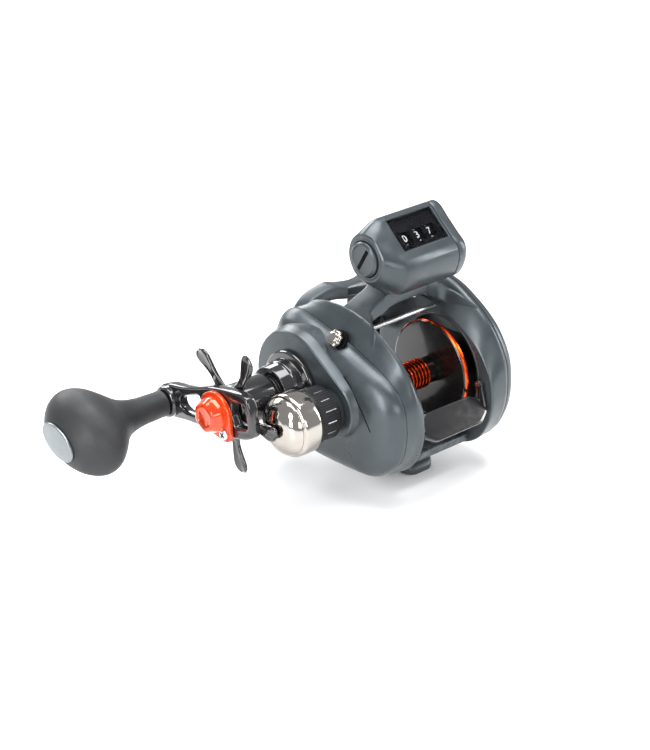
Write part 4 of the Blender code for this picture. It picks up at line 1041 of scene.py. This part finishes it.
def digits():
    """Ten white figures round each drum."""
    for name, body, x, start in (("hundreds", "hundreds_drum", DRUMS_X[0], 0),
                                 ("tens", "tens_drum", DRUMS_X[1], 3),
                                 ("units", "units_drum", DRUMS_X[2], 7)):
        figures = []
        for k in range(FIGURES):
            curve = bpy.data.curves.new("figure", "FONT")
            curve.body = str((start + k) % FIGURES)
            curve.size = 4.6
            curve.extrude = 0.06
            curve.align_x = "CENTER"
            curve.align_y = "CENTER"
            bm = bmesh.new()
            bm.from_mesh(plain_mesh(curve))
            facing = FACE_TILT + 2 * pi * k / FIGURES
            move = (Matrix.Translation((x, *DRUM)) @ Matrix.Rotation(facing, 4, "X")
                    @ Matrix.Translation((0, 0, FIGURE_R)))
            for vert in bm.verts:                    # wrap the figure round its drum
                drop = FIGURE_R - (FIGURE_R ** 2 - min(vert.co.y, 6.0) ** 2) ** 0.5
                vert.co.z -= drop
            figures.append(from_bmesh("figure", bm, move))
        finish_piece(joined(figures, f"figures_{name}"), DIGIT_WHITE, body, 40.0)


# ---------------------------------------------------------------- carried-over nodes

def dress(node, material):
    """Give a CAD node its material."""
    mesh = NODES[node].data
    mesh.materials.clear()
    mesh.materials.append(material)


DRESSED = {
    SILVER: ("cross_bar", "thumb_pin_left", "thumb_pin_right"),
    STEEL: ("spool_shaft", "drive_shaft", "knob_spindle", "handle_nut", "pressure_plate",
            "star_spring", "one_way_bearing", "spool_bearing_left", "spool_bearing_right",
            "worm_shaft", "guide_bar", "foot_rivet_rear", "foot_rivet_front",
            "cover_screw_upper", "cover_screw_lower", "drum_shaft", "counter_stub",
            "counter_screw_left", "counter_screw_right"),
    BRASS: ("main_gear", "pinion_gear"),
    BLACK_PLASTIC: ("clutch_yoke", "brake_plate", "line_guide", "level_wind_drive_gear",
                    "worm_gear", "units_gear", "counter_gear"),
    BLACK_AND_SLOT_SHADE: ("digit_drum_units", "digit_drum_tens", "digit_drum_hundreds"),
    RUBBER: ("drag_washer",),
}


# ---------------------------------------------------------------- stage

VIEW_AZIMUTH = radians(-41.5)
VIEW_ELEVATION = radians(26.0)
VIEW_DISTANCE = 0.9
VIEW_MIDDLE = Vector((-19.98, 29.83, -3.08))
LENS = 100.8
SENSOR = 36.0
FLOOR_HALF = 20.0
FLOOR_GAP = 0.0002
SKY = (0.95, 0.97, 1.0, 1)
SKY_STRENGTH = 0.55
LIGHT_AIM = Vector((-0.03, 0.0, 0.04))
# name, place in metres, power in watts, size in metres
LIGHTS = (("overhead", (0.05, 0.05, 0.85), 9.0, (0.7, 0.5)),
          ("left_strip", (-0.75, -0.25, 0.42), 6.0, (0.18, 0.7)),
          ("rear_left", (-0.30, -0.80, 0.30), 2.0, (0.4, 0.3)),
          ("right_strip", (0.65, -0.45, 0.35), 4.0, (0.2, 0.6)),
          ("front_rim", (0.1, 0.75, 0.45), 5.0, (0.6, 0.3)))


def camera():
    """The camera looks from behind and to the left, from above."""
    back = Vector((sin(VIEW_AZIMUTH) * cos(VIEW_ELEVATION),
                   -cos(VIEW_AZIMUTH) * cos(VIEW_ELEVATION), sin(VIEW_ELEVATION)))
    right = Vector((cos(VIEW_AZIMUTH), sin(VIEW_AZIMUTH), 0.0))
    up = back.cross(right)
    data = bpy.data.cameras.new("camera")
    data.lens = LENS
    data.sensor_width = SENSOR
    data.clip_start = 0.01
    data.clip_end = 100.0
    obj = linked("camera", data)
    place = ORIGIN + VIEW_MIDDLE * MM + back * VIEW_DISTANCE
    axes = Matrix((right, up, back)).transposed().to_4x4()
    obj.matrix_world = Matrix.Translation(place) @ axes
    bpy.context.scene.camera = obj


def stage():
    """A pale floor under a pale sky."""
    n = surface("pale_floor", (0.90, 0.90, 0.90), 0.6, 0.0, grain=300.0, depth=0.00002,
                mottle=3.0, variety=0.01)
    bm = bmesh.new()
    bmesh.ops.create_grid(bm, x_segments=1, y_segments=1, size=FLOOR_HALF)
    mesh = bpy.data.meshes.new("floor")
    bm.to_mesh(mesh)
    bm.free()
    mesh.materials.append(n.material)
    floor = linked("floor", mesh)
    floor.location = (0, 0, cad_box[0][2] - FLOOR_GAP)
    world = bpy.data.worlds.new("sky")
    world.use_nodes = True
    background = world.node_tree.nodes["Background"]
    background.inputs["Color"].default_value = SKY
    background.inputs["Strength"].default_value = SKY_STRENGTH
    bpy.context.scene.world = world


def area(name, place, power, size):
    """A soft light aimed at the reel."""
    data = bpy.data.lights.new(name, "AREA")
    data.shape = "RECTANGLE"
    data.size, data.size_y = size
    data.energy = power
    obj = linked(name, data)
    place = Vector(place)
    aim = (place - LIGHT_AIM).to_track_quat("Z", "Y")
    obj.matrix_world = Matrix.Translation(place) @ aim.to_matrix().to_4x4()


frame_pieces()
foot()
gear_cover()
palm_cover()
spool()
collar()
star()
handle()
knob()
tension_cap()
thumb_bar()
clicker()
counter()
for material, names in DRESSED.items():
    for node_name in names:
        dress(node_name, material)
camera()
stage()
for light in LIGHTS:
    area(*light)

bpy.context.scene.view_settings.view_transform = "Standard"
